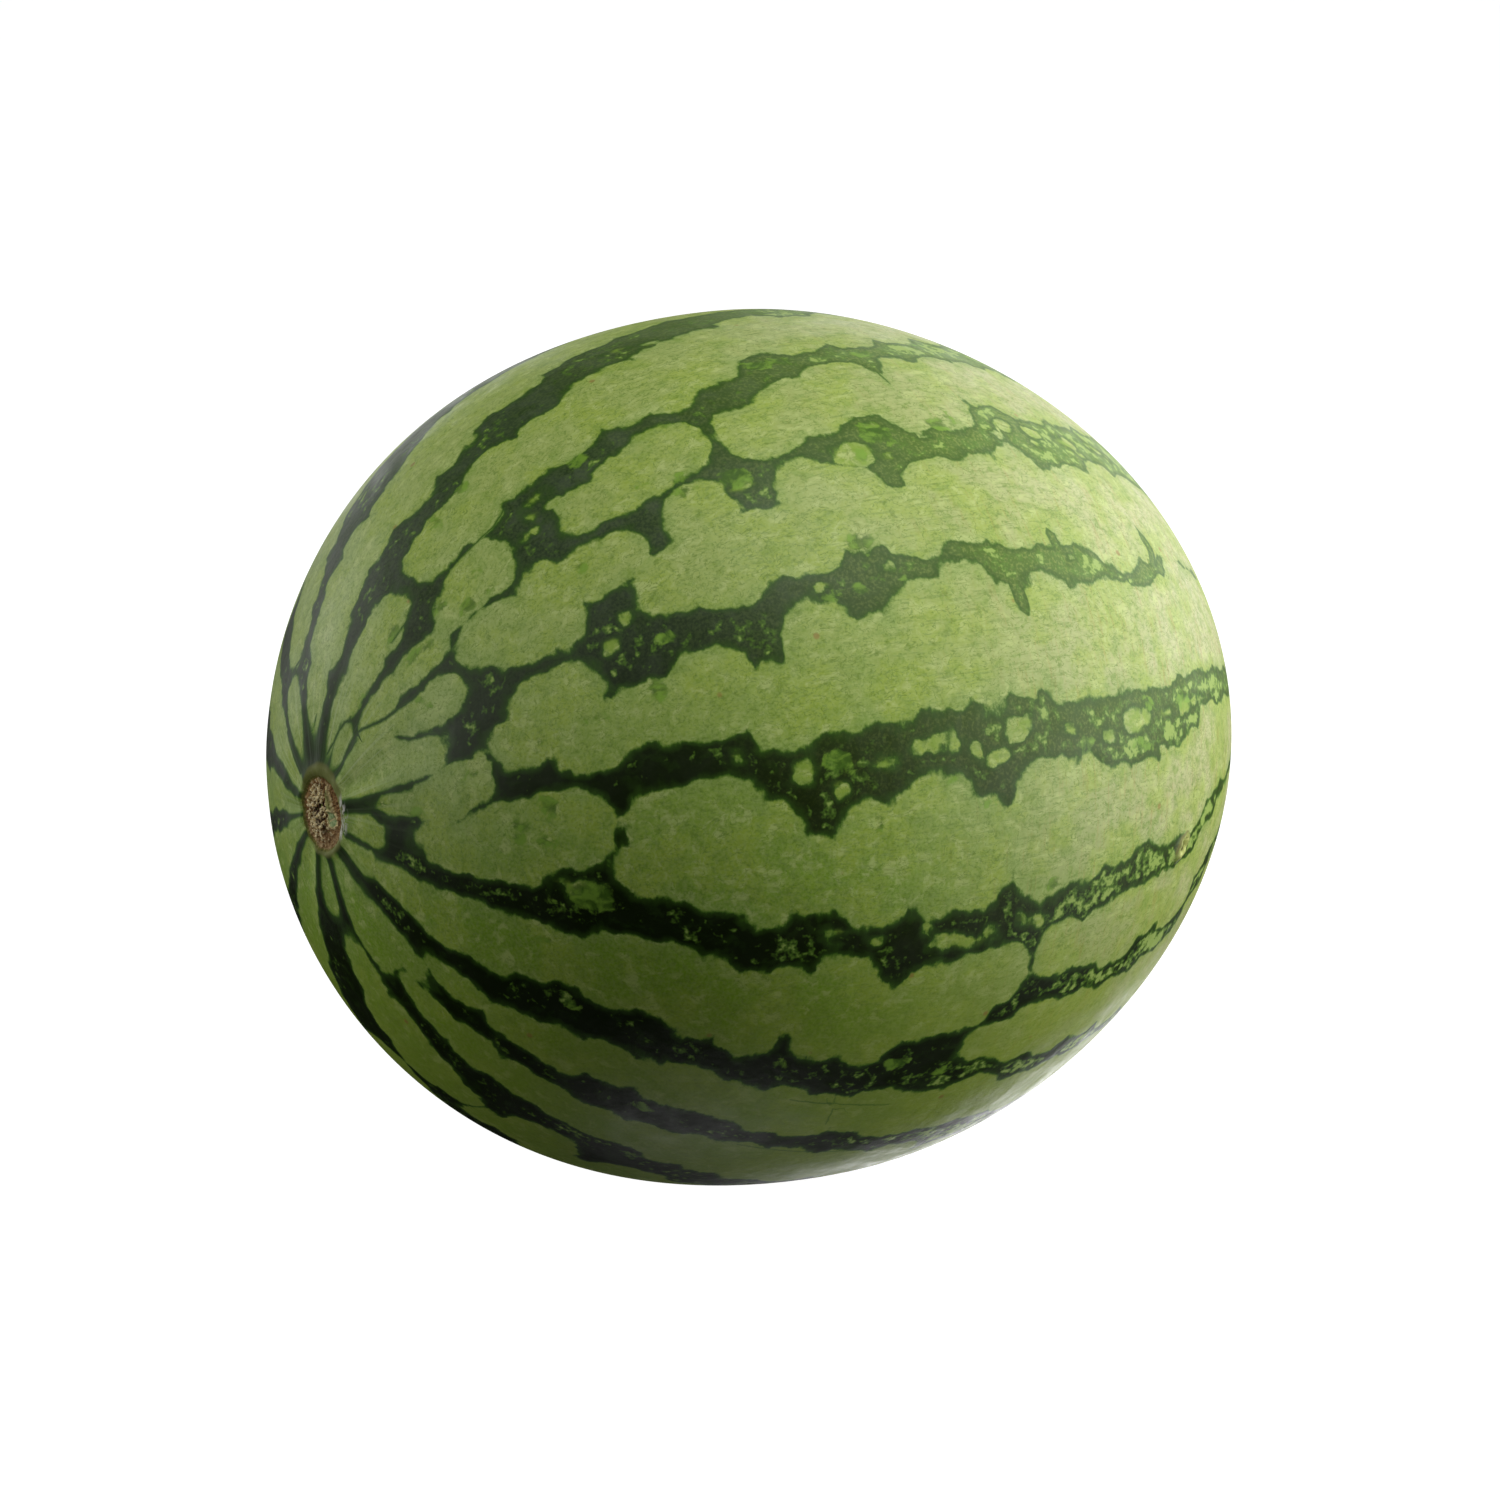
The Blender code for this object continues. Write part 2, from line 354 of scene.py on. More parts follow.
# The ground colour's pale lobes: polar angle, turn, and half their length and width, all in degrees. Each
# list is one lane between two dark stripes, from the stem end on.
LANES = {
    "behind_top": [
        (14, -43.5, 5.4, 8.5), (25.5, -39, 4.6, 8), (31, -38.5, 5.2, 8.6), (37.5, -38.5, 5, 8.6),
        (45, -38, 5.5, 8), (53, -36, 5.5, 8.5), (61, -34, 5.5, 9), (69, -33, 6, 8), (77, -32, 5.5, 8.6),
        (85, -33, 5.4, 8), (93, -35, 5.4, 8), (101, -37, 5.4, 7.6), (109, -40, 5.4, 7.6),
        (117, -43, 5.4, 7.6),
    ],
    "top": [
        (15.5, -18, 5.6, 10), (21.5, -15.5, 4.6, 12.2), (28, -15, 4.6, 10.4), (34, -12.6, 4.2, 9.6),
        (40.3, -8.6, 4.8, 9), (47, -8.6, 4.4, 8.6), (52.5, -10.5, 4.2, 7.6), (58, -9.5, 5.2, 8.4),
        (64.5, -9.8, 4.8, 6.2), (70.5, -9.6, 4.4, 6), (77, -10.8, 5.2, 6.6), (84.5, -11.5, 5, 6.6),
        (92, -12.5, 5.2, 7), (100, -15, 5.2, 7.4), (108, -18.5, 5.4, 7.6), (116, -21.5, 5.4, 7.8),
    ],
    "upper": [
        (12.5, 6.8, 5, 6), (20.5, 13.2, 8.7, 9.4), (36.2, 12.7, 4.8, 7.2), (41.2, 13.8, 4.1, 7.2),
        (47.8, 12.2, 4.8, 7.2), (55, 13.4, 5.3, 6.6), (63.3, 12.6, 5, 7.5), (67.8, 13.2, 4, 8.4),
        (74, 11.4, 5, 7.6), (80, 9.2, 5, 6), (87, 8.8, 5, 7.9), (94, 9.6, 5, 6.5), (100.5, 7, 5, 7.4),
        (107, 4, 5, 7), (114, 0.5, 5, 7.5), (121, -1, 5.5, 7),
    ],
    "second": [
        (9.4, 21.5, 3.1, 8), (17.5, 32.8, 4.8, 6.6), (24.5, 33.6, 5, 5.3), (32.2, 29.6, 3, 4.8),
        (37.3, 28, 4.6, 6.7), (52, 30.3, 4.3, 4.3), (57.8, 29.6, 4.6, 5.2), (62.8, 28.2, 5.2, 5.2),
        (74, 30, 5.2, 5.1), (80.5, 27.9, 5, 5.9), (87.8, 25.8, 5.2, 5.9), (92.5, 30.8, 3.6, 4.8),
        (97.5, 27.6, 4.4, 7.8), (104, 24, 4.4, 6), (110.4, 24.5, 5, 7.3), (117, 22.6, 5, 7.6),
        (123.5, 20.5, 5.2, 7.2), (130, 17, 5.5, 8),
    ],
    "third": [
        (34.8, 41.6, 4.8, 6.4), (38.4, 45.6, 4.8, 6.2), (42.2, 43.6, 3.6, 8.8), (48.6, 41.6, 4.4, 5),
        (51.5, 41.4, 3.7, 4.5), (56.5, 48.6, 5, 5), (62.3, 40.2, 4.2, 5), (61.8, 48.6, 5.4, 6.8),
        (67.6, 47.8, 4.2, 5.2), (71.6, 48.4, 4.2, 5.5), (75.4, 43.2, 4.1, 6.6), (79.4, 45.6, 4.8, 6.4),
        (84.6, 49, 4.5, 5.2), (91.8, 46.5, 5.6, 6.5), (98, 47, 5, 7.5), (103.6, 46.4, 4.4, 8.2),
        (109.5, 48, 4.2, 6.6), (114.5, 48.8, 5.6, 9), (121, 46, 5.2, 9.2), (128.5, 45, 6, 9),
        (135.5, 44, 6, 9),
    ],
    "stem_front": [
        (12, 52, 8.2, 17.5), (17.5, 47, 4.8, 7), (19.5, 62, 4.8, 7), (24.3, 48, 4.8, 6.6),
    ],
    "fourth": [
        (15.6, 77.6, 3.9, 5.6), (21.6, 76.5, 3.8, 9.5), (26, 73.3, 3.5, 6.9), (33.5, 67, 3.9, 5.6),
        (38.8, 61, 6, 6.6), (41.6, 69.5, 4.7, 6), (48, 67.3, 4.5, 4.8), (51.6, 67.8, 4, 5),
        (56.2, 66.4, 5, 6.6), (63.5, 70.2, 4.4, 6.2), (69.7, 66, 5, 9), (76, 67.6, 5, 7.2),
        (83, 65.5, 5, 8.4), (88.6, 64.8, 4.6, 9.4), (93, 66.4, 4.6, 7.2), (99.5, 67, 4.5, 8.6),
        (104.8, 67.4, 4.4, 7.6), (110.5, 67, 5, 7.8), (117, 67, 5.4, 8), (123.5, 65.5, 5.5, 8),
        (130, 62.5, 6, 10.5), (137, 63, 6, 10.5),
    ],
    "fifth": [
        (24.5, 92, 6.3, 8), (31, 89, 6, 9.6), (37.8, 85.7, 5.5, 7.8), (21.8, 86, 2.6, 5),
        (48.7, 86.2, 4, 6.8), (48, 92.4, 4.7, 5), (55, 88.5, 6, 9.8), (60.5, 91.3, 4.4, 8.8),
        (65.6, 93.5, 4, 5.4), (73, 92.4, 5.3, 8.4), (80.4, 90.8, 5.5, 9.3), (85, 92.4, 4.8, 7.4),
        (94.6, 90.6, 5.1, 9.2), (101, 90.5, 4.5, 7.9), (106.2, 91.3, 4.4, 6.6), (111.5, 90.6, 4.5, 6),
        (117, 91, 4.5, 7.2), (123, 90.2, 5.4, 8), (129.6, 87, 5.4, 8.2), (136.5, 86.5, 5.6, 7.6),
    ],
    "stem_low": [(8.5, 95, 4.2, 11.5), (8.3, 119, 4, 12), (16.5, 116.5, 5.4, 7.8)],
    "sixth": [
        (23, 116.4, 5.5, 9.6), (29.5, 115.4, 4.5, 8.8), (34.6, 113.4, 4.3, 7.2), (38.6, 112.6, 3.4, 5.6),
        (44.6, 112, 5.2, 7.5), (50.4, 111.3, 4.6, 6.6), (55, 113.4, 4.4, 7.3), (61, 115, 4.3, 7.3),
        (64.6, 112, 4, 5.2), (70.4, 113.3, 4.8, 8.4), (75.2, 115.6, 4.4, 6.6), (81.5, 112.7, 4.8, 5.9),
        (86.5, 112, 4.5, 5.9), (90.2, 109.8, 3.9, 4.5), (98.8, 107.8, 3.8, 4.2), (104, 108, 4.4, 4.2),
        (109.6, 108.3, 5, 5.9), (116, 107.4, 5, 5), (122.6, 108.5, 5, 6), (129.5, 104, 4.6, 4.8),
        (136, 102, 5, 5.4),
    ],
    "fork": [
        (92.6, 120.8, 4.3, 3.4), (97.6, 120.9, 4.2, 5.2), (103.6, 122, 4.5, 5.6), (110.5, 122.8, 5, 5.2),
        (117, 124.3, 5, 6.6), (124, 126, 5.4, 8), (131, 122, 5.4, 8.5), (138, 119, 5.6, 9),
    ],
    "seventh": [
        (28.2, 135.4, 4.3, 4.3), (36.5, 135, 3.9, 4.4), (42, 133.6, 4.6, 5.4), (48, 131.6, 4.6, 4.8),
        (52, 130.8, 3.6, 3.6), (56.6, 131.2, 4.8, 5.2), (63, 131.9, 4.4, 4.2), (68.5, 132.6, 4.4, 5.3),
        (73.6, 133.6, 4, 5), (80.5, 132.6, 4.6, 4.9), (86, 134.3, 5, 5.4), (92.5, 133.6, 5, 6),
        (99, 135.2, 4.8, 4.8), (105.5, 137, 5, 6), (112.5, 138.5, 5.2, 6.4), (119.5, 141, 5.2, 7),
        (127, 143, 5.6, 7.5), (135, 143.5, 5.8, 8),
    ],
    "eighth": [
        (14, 153, 8.4, 12), (18.6, 143.2, 6.6, 5.4), (25, 151.8, 3.6, 3.6), (29.5, 151.4, 4, 5.2),
        (35, 150.4, 4.4, 5.8), (41, 149.5, 3.6, 5), (46.2, 148.4, 4.5, 5), (52, 148.1, 4, 4.8),
        (57, 146.7, 4.4, 4.6), (62.5, 147.6, 4.4, 5.8), (68.2, 148, 4.4, 6.3), (74.5, 149.5, 5, 7.2),
        (81.5, 151, 5, 7.8), (89, 152, 5, 8), (96.5, 155, 5.2, 8), (104, 157, 5.2, 8.2),
        (112, 160, 5.4, 8), (120, 163, 5.4, 8.2), (128, 166, 5.8, 8.6),
    ],
    "ninth": [
        (22.5, 173.5, 5.8, 8.6), (10, 182, 4.4, 8), (29, 173.5, 5.2, 10.6), (36, 173.4, 5, 10),
        (40.4, 170.6, 3.2, 6), (50.6, 166.4, 5, 8), (46, 172, 2.6, 6), (57, 172, 4.5, 6.5),
        (63.5, 167.6, 5.3, 7.8), (71, 171.5, 5, 8), (79, 173, 5, 8.2), (87, 175.5, 5, 8.2),
        (95, 178.5, 5.2, 8), (103, 181, 5.2, 8.2), (111, 184, 5.4, 8), (119, 187, 5.4, 8),
    ],
}
# Lanes of the side turned away from the camera: turn where they start and end, half width, and first and
# last polar angle. Lanes here and above that come past LANE_RUNS_ON run on to the blossom scar.
GROWN_LANES = {
    "hidden_1": (211.5, 211.5, 12, 8, 34),
    "hidden_2": (241, 241, 9.4, 8, 34),
    "hidden_3": (266.5, 266.5, 8.2, 8, 35),
    "hidden_4": (294, 294, 8.6, 8, 35),
    "hidden_5": (193, 207, 8, 40, 120),
    "hidden_6": (214, 225.5, 8.2, 41, 120),
    "hidden_7": (235, 244, 8, 40, 120),
    "hidden_8": (256, 262, 8.2, 42, 120),
    "hidden_9": (277, 280, 8, 41, 120),
    "hidden_10": (303, 299, 9.4, 38, 120),
}
LANE_STEP = 6.2
LANE_END = 171
LANE_SWAY = 1.6
LANE_SEED = 7
# A lane whose last lobe lies past this polar angle, in degrees, is run on
LANE_RUNS_ON = 110
# The run-on lobes: half their length in steps, and how much their length and width vary
LOBE_STEPS = 0.83
LOBE_LENGTH_VARIES = 0.1
LOBE_WIDTH_VARIES = 0.16
# Lanes whose lobes share a field, so that the stripe between two neighbours stays sharp
LANES_A = ("behind_top", "upper", "third", "stem_front", "fifth", "fork", "eighth", "hidden_1", "hidden_3")
LANES_A += ("hidden_5", "hidden_7", "hidden_9")
# Thin dark strokes: half width in millimetres, then points as polar angle and turn
DARK_STROKES = [
    (1.1, (7, -56), (10, -56), (14, -55)),
    (0.55, (19.6, -52), (20.3, -44), (20.8, -36)),
    (0.8, (6.6, -32), (9, -31.5), (14, -31)),
    (0.5, (9.6, -26), (10.6, -21), (11.6, -18)),
    (0.9, (6.8, -7), (8.5, -5), (12, -3)),
    (0.5, (7.4, 5), (9, 11), (12.2, 16), (13.3, 23)),
    (0.8, (13.2, 20), (13.6, 25), (12.6, 30), (9.4, 31), (7, 34)),
    (0.55, (12.8, 30), (14.5, 34.5), (17, 39), (21, 41.3), (25, 40.5)),
    (0.6, (18, 50), (19.5, 53.5), (22.5, 55.6), (24.6, 58)),
    (0.9, (6, 75), (8.5, 77), (11, 80), (13.5, 84)),
    (1.6, (8.2, 74), (9.8, 76), (10.8, 81), (12.6, 86)),
    (0.6, (8.5, 71), (13, 70.6), (17, 70.4), (20.5, 69)),
    (0.9, (6.2, 110), (8.5, 108.5), (10.5, 107)),
    (1.2, (6.4, 141), (8.6, 138), (11.5, 133)),
    (1.0, (6.6, 168.5), (9, 168.4), (14, 168)),
    (0.8, (6.6, 193), (9, 194), (15, 194.5), (22, 196.5), (29, 197.6)),
    (0.6, (7, 228), (10, 228.5), (16, 229), (22, 229)),
    (0.4, (6.8, 252), (9.5, 254), (13, 256), (20, 257)),
    (1.1, (7, 277), (10, 279), (15, 281), (21, 284)),
    (0.35, (24, 20), (24, 20.2), (35.4, 20.8), (42, 21.3), (44.6, 19.5)),
    (0.3, (43.4, 166), (43.6, 170), (43.6, 175)),
    (0.5, (57.4, 158), (57.8, 161), (57.2, 165)),
    (0.35, (93, 22), (93.2, 25.4)),
    (0.12, (70, 130), (76, 130.6), (82, 131.2)),
    (0.12, (68, 142.4), (77, 143.4), (85, 144)),
    (0.1, (75, 129.6), (75.6, 132), (76, 135)),
    (1.7, (115, 59), (119, 58.8), (122, 56.6), (123.4, 53), (122.4, 50.4)),
    (1.7, (103.8, 55.5), (103.2, 52.4)),
    (3.0, (94.6, 55), (95.2, 58.4)),
    (2.3, (95, 57), (95.3, 60.4), (95.6, 62.6)),
]
# Islands and flecks of half formed pigment: polar angle, turn, and half their length and width in degrees
GREEN_PATCHES = [
    (68, 36.6, 1.7, 1.9), (83, 38.2, 0.5, 0.5), (40.6, 98.8, 3, 2.6), (36, 101.6, 1.2, 1),
    (86, 34.8, 1.6, 1.6),
    (87.6, 35.2, 1, 1.6), (69, 78.5, 1.7, 1.8), (71, 80.5, 1, 0.8), (81, 17.4, 1.8, 1.1),
    (83.6, 17.8, 1, 1.2),
    (95, 34.4, 1.6, 1), (97.4, 33, 0.7, 1.2), (78, 50.6, 1.6, 1.4), (62, 36, 0.9, 0.6), (62.3, 33, 0.6, 0.9),
    (58.3, 32.2, 0.7, 0.4), (25.2, 18.8, 0.9, 1), (28, 12.8, 0.7, 0.9), (22.8, 18.2, 0.8, 0.4),
    (21.3, 36.8, 0.9, 0.9), (24.8, 30.4, 1, 1.4), (27, 31.6, 0.9, 1), (31, 26.4, 1.1, 1.3),
    (33.9, 31.8, 0.9, 1.4), (36.7, 26.7, 0.8, 0.7), (36.9, 32.4, 0.7, 0.7), (47.2, 39.3, 0.7, 0.9),
    (23, 43.8, 0.6, 1.2), (23.6, 47.6, 0.6, 0.9), (26.6, 71, 1, 1), (36, 81, 0.9, 1.8),
    (32.8, 85.4, 1.8, 1.3),
    (31.8, 87.8, 0.9, 1.6), (35, 88, 0.9, 1), (73.3, 86.6, 0.6, 0.9), (82.5, 82.9, 0.8, 0.5),
    (86.4, 86.2, 0.8, 0.4), (95.4, 98.2, 0.9, 0.6), (43.2, 7.6, 0.8, 1.3), (38.4, 7.8, 0.4, 1.2),
    (50.4, 64.4, 0.9, 1.6), (35.8, 67.5, 0.6, 0.6), (43.3, 66.2, 0.5, 0.5), (36, 110, 1, 0.8),
    (111, 82.4, 1.8, 0.7), (121, 77, 1.6, 0.6), (98.6, 77.6, 0.8, 0.5), (113, 77, 0.8, 0.5),
    (101, 80.6, 0.7, 0.5), (72, 57, 1.2, 0.9), (53.2, 56.5, 0.9, 0.6), (80.4, 56, 1.1, 0.7),
    (76, 57, 0.8, 0.7), (65, 23.4, 0.5, 0.4), (54.6, 21.6, 0.9, 0.6), (93.6, 18.4, 1.2, 0.7),
    (104, 13.6, 1, 0.5), (10.6, -21.6, 0.7, 1.6), (17.5, 21, 0.6, 0.4), (12.4, 76, 0.7, 2),
    (17.5, 82, 1.2, 1),
    (41, 122, 1, 0.8), (66, 122.8, 1, 0.8), (72, 121.4, 1, 0.6), (80.6, 122.6, 1.2, 1),
    (87.4, 124.8, 0.8, 0.7),
    (54.4, 138.6, 1, 0.6), (37.4, 142.4, 0.4, 0.5), (59, 153.8, 0.9, 0.7),
]
PALE_ISLANDS = [
    (82.4, 37.8, 2.3, 2), (68, 38.4, 1.4, 0.6), (87, 33.6, 0.9, 0.7), (86.4, 38.9, 0.9, 0.6),
    (47.6, 22.6, 0.8, 0.6), (48.7, 25.8, 0.8, 0.7), (46, 25.4, 0.5, 0.7), (45, 28.3, 0.6, 0.5),
    (46.9, 54.9, 0.9, 1.1), (49.2, 51.4, 0.6, 0.9), (38.6, 98, 0.9, 1.7), (38.4, 96.4, 1.2, 0.4),
    (64.8, 79.2, 1.2, 1.3), (69, 82, 0.9, 0.9), (74, 79.4, 0.9, 0.6), (78.6, 77.8, 0.7, 0.7),
    (80.6, 77.7, 0.6, 1), (82.6, 77.5, 0.5, 1), (85.4, 79.4, 0.5, 0.5), (88.2, 80.6, 0.9, 0.5),
    (91, 77.8, 1.2, 1.3), (92.8, 76.6, 0.5, 0.7), (98.6, 78.6, 0.8, 0.6), (57.6, 75.6, 0.5, 0.7),
    (104.8, 80.2, 0.9, 0.6), (110.4, 79, 2.3, 1.6), (116.4, 78.6, 1, 0.6), (121.4, 78.4, 1.4, 0.8),
    (124, 78, 0.7, 0.4), (128.6, 77.7, 0.6, 0.3), (115, 84, 0.7, 0.5), (68.6, 101.1, 0.7, 0.4),
    (68.8, 103, 0.4, 0.3), (73.5, 102.9, 0.5, 0.4), (79.4, 101.6, 0.4, 0.4), (82.2, 103.6, 1.2, 0.6),
    (85.2, 104.3, 1.6, 0.5), (87.6, 103, 0.5, 0.4), (91.4, 101.6, 0.5, 0.6), (93.9, 102.7, 1, 0.6),
    (105.2, 34.2, 1.2, 1.1), (103, 36, 0.8, 0.5), (110.4, 34.4, 1.2, 0.8), (109.2, 36.8, 0.7, 0.5),
    (115.6, 34.6, 1.6, 0.7), (123.4, 31.8, 1.8, 0.7), (118, 36.4, 0.6, 0.4), (71.6, 55.6, 0.8, 0.6),
    (80, 54.8, 0.6, 0.4), (105.4, 56, 0.6, 0.6), (92.6, 36, 0.7, 0.5), (70.6, 1, 0.9, 0.7),
    (74, 3, 0.8, 0.8),
]
# The dry cracked skin beside the collar: its middle turn, half its arc, its radius and its half width
DRY_TURN = 92
DRY_HALF_TURN = 30
DRY_RADIUS_MM = 9.9
DRY_WIDTH_MM = 1.7
# The olive collar is narrower at its sides than above and below, by this share
COLLAR_PINCH = 0.12
# How square the lobes and spots are: at 2 they are ovals
LOBE_POWER = 2.5
STROKE_REACH_MM = 3.0
STROKE_FADE_MM = 1.5
DEEPEST_MM = 12.0
FAR_MM = 200
# A point is compared with a spot or a stroke only if it lies so few degrees past its end
SPOT_SEARCH = 8
STROKE_SEARCH = 4
# Noise in the skin: its grain along and round the fruit in millimetres, octaves, swirl and seed
SKIN_GRAINS = {
    "scallop": (5.5, 5.5, 1, 0.0, 0.0),
    "tooth": (1.6, 1.6, 4, 0.0, 3.0),
    "comb": (1.0, 4.0, 3, 0.3, 9.0),
    "cloud": (14.0, 14.0, 4, 0.0, 7.0),
    "blotch": (4.4, 3.4, 4, 0.5, 11.0),
    "dash": (2.2, 1.6, 3, 0.6, 4.0),
    "fine_run": (10.0, 0.8, 3, 0.3, 27.0),
    "vein": (4.2, 2.4, 3, 0.8, 21.0),
    "fine_comb": (0.8, 11.0, 3, 0.0, 15.0),
    "pore": (0.8, 0.8, 1, 0.0, 13.0),
    "bloom": (8.0, 8.0, 4, 0.4, 5.0),
    "fleck": (2.4, 2.2, 2, 0.0, 19.0),
    "cluster": (18.0, 18.0, 2, 0.0, 17.0),
    "swell": (7.0, 7.0, 2, 0.0, 23.0),
    "shade": (16.0, 16.0, 3, 0.0, 29.0),
}
# The edge between pigment and ground colour swings by so many millimetres over each of these
EDGE_SWINGS_MM = {"scallop": 4.0, "tooth": 1.3, "comb": 0.9}
# Rays of finer grain run out of the stem scar: how many round it, and their length in radians of polar angle
RAY_COUNT = 150
RAY_LENGTH = 0.35
# Tan freckles: one cell in three or so of this size holds one
FRECKLE_SPACING_MM = 11
# Shares of the paints: what each is read from, where it starts and is full, and the most that it takes
SKIN_SHARES = {
    # Painted light: the ground is made paler and creamier toward +X, for the light and sheen on the brightly
    # lit side
    "painted_sheen_right": ("along", -0.055, 0.085, 1.0),
    # Painted light: the ground is made paler higher on the fruit, for its lit top, and stays darker low down
    "high": ("height", 0.065, 0.195, 1.0),
    # Painted sheen: the stripes are made greyer higher on the fruit, and the grey wax bloom and pale pores
    # on them are laid only there
    "lofty": ("height", 0.115, 0.2, 1.0),
    "raised": ("height", 0.085, 0.14, 1.0),
    # Painted shade: a duller green laid low on the fruit, for its shaded underside
    "shaded": ("height", 0.1, 0.045, 0.5),
    # Painted light: the stripes are made a lighter green on the upper right, where the fruit is lit, and the
    # pale specks in them are laid only there
    "painted_light_right": ("along", -0.085, 0.05, 1.0),
    # Painted light and sheen: the skin is made paler and greyer toward the stem end, higher up, on the
    # ground and on the stripes
    "stemward": ("along", -0.088, -0.122, 0.9),
    "rim": ("ground", 3.4, 0.6, 0.5),
    "cloudy": ("cloud", 0.42, 0.62, 0.7),
    "greener": ("blotch", 0.5, 0.68, 0.6),
    "paler": ("blotch", 0.49, 0.32, 0.6),
    "dashed": ("dash", 0.56, 0.72, 0.55),
    "veined": ("vein_line", 0.476, 0.498, 0.65),
    "streaked": ("fine_run", 0.5, 0.68, 0.5),
    "combed": ("fine_comb", 0.54, 0.68, 0.4),
    "porous": ("pore", 0.3, 0.7, 0.25),
    "pored": ("pore", 0.3, 0.7, 0.35),
    "speckled": ("pore", 0.42, 0.75, 0.6),
    # Grey wax bloom, laid only high on the fruit, where it also paints the top's sheen
    "bloom_and_painted_sheen": ("bloom", 0.46, 0.66, 0.45),
    "thin": ("ground", -1.9, -0.3, 0.6),
    "haloed": ("fleck_depth", 0.52, 0.68, 0.75),
    "flecked": ("fleck_depth", 0.64, 0.78, 0.85),
    "edged": ("ground", -0.6, 0.0, 1.0),
    "inside": ("ground", -0.35, 0.4, 1.0),
    "vivid": ("blotch", 0.4, 0.62, 1.0),
    "patched": ("patch", -0.5, 0.6, 0.8),
    "islet": ("island", -0.6, 0.6, 0.7),
    "olive": ("collar", 12.2, 11.0, 0.85),
    "pink": ("freckle", 0.1, 0.045, 0.6),
    "rayed": ("ray_grain", 0.5, 0.64, 0.7),
    "near_stem": ("from_stem", 42.0, 15.0, 1.0),
    "cracked": ("crack", 0.47, 0.55, 1.0),
    "dry_skin": ("dry", 0.15, 0.6, 1.0),
    "callused": ("callus", 0.15, 0.85, 0.9),
    "scorched": ("scorch", 0.2, 0.9, 0.75),
    "torn": ("tear", 0.2, 0.8, 0.9),
    "bedded": ("bed", 0.0048, 0.0028, 0.85),
}
# Shares that hold only where another one does
SKIN_PRODUCTS = (
    ("painted_light_right", "high"), ("stemward", "raised"), ("combed", "painted_sheen_right"), ("speckled", "painted_light_right"),
    ("bloom_and_painted_sheen", "lofty"), ("pored", "lofty"), ("rayed", "near_stem"), ("rayed", "raised"),
    ("cracked", "dry_skin"), ("islet", "vivid"),
)
# The paints, each a ground colour and what is laid over it in turn: a colour, or an earlier paint
SKIN_PAINTS = {
    "fresh": ("#45671c", [("vivid", "#7ba238")]),
    "flesh": (
        "#729a1a",
        [
            # Paler at the top, creamier toward +X, paler and greyer at the stem end and duller low down:
            # painted light, sheen and shade on the ground colour
            ("high", "#a0b161"), ("painted_sheen_right", "#b9b98a"), ("stemward", "#a9bd70"), ("rim", "#86a151"),
            ("cloudy", "#9ab043"), ("greener", "#78963a"), ("paler", "#bfcc82"), ("dashed", "#63822e"),
            ("veined", "#64822f"), ("streaked", "#6f8b3c"), ("combed", "#a5854c"), ("porous", "#b4c67c"),
            ("shaded", "#869a31"), ("rayed", "#bccb96"), ("pink", "#96703e"),
        ],
    ),
    "pigment": (
        "#141f05",
        [
            # Greyer at the top and the stem end, and a lighter green on the upper right: painted sheen and
            # light on the stripes
            ("lofty", "#33432a"), ("stemward", "#2e3a22"), ("bloom_and_painted_sheen", "#505a48"), ("greener", "#24390f"),
            ("painted_light_right", "#5f7f28"), ("pored", "#5c7040"), ("speckled", "#95a64e"), ("rayed", "#5c6850"),
            ("thin", "#36551a"), ("haloed", "#597e2a"), ("flecked", "#9cb45c"),
        ],
    ),
    "skin": (
        "pigment",
        [
            ("edged", "#48701f"), ("inside", "flesh"), ("islet", "#84a238"), ("patched", "fresh"),
            ("olive", "#6a6c36"), ("cracked", "#c8c8bb"), ("callused", "#b2b866"),
            ("scorched", "#75703a"), ("torn", "#33220f"), ("bedded", "#d2c47f"),
        ],
    ),
}
# The ground colour fills the collar and the dimple too, out to these radii
COLLAR_GROUND_MM = 10.8
DIMPLE_GROUND_MM = 6.0
# The stripes' edges are calm this near to the stem scar, and swing in full this far from it
EDGE_CALM_MM = 8.0
EDGE_FREE_MM = 45.0
# A stroke with a smaller half width than the first isn't drawn, and is moved off by the second
THINNEST_STROKE_MM = 0.05
NO_STROKE_MM = 9.0
# How much more ragged the islands' edges are than the lobes', and how mottled the green patches are
ISLAND_RAGGED = 1.2
PATCH_MOTTLE_MM = 5.0
# A fleck shows where the sum of these is high: a start, two noises, more toward the blossom end, and
# fewer at a stripe's edge
FLECK_START = -0.46
FLECK_WEIGHTS = {"fleck": 1.0, "cluster": 0.8, "blossomward": 0.24, "brink": -0.25}
FRECKLES_LEFT_OUT = 0.7
BED_WAVER = 0.004
# Hairline cracks of the dry skin, in a metre along X, Y and Z: fine along X and Y, and longer along Z
CRACKS_PER_METRE = (1800, 1800, 500)
WAX_SHINE = (0.38, 0.52)
WAX_DULLER_AT_STEM = 0.22
WAX_IOR = 1.28


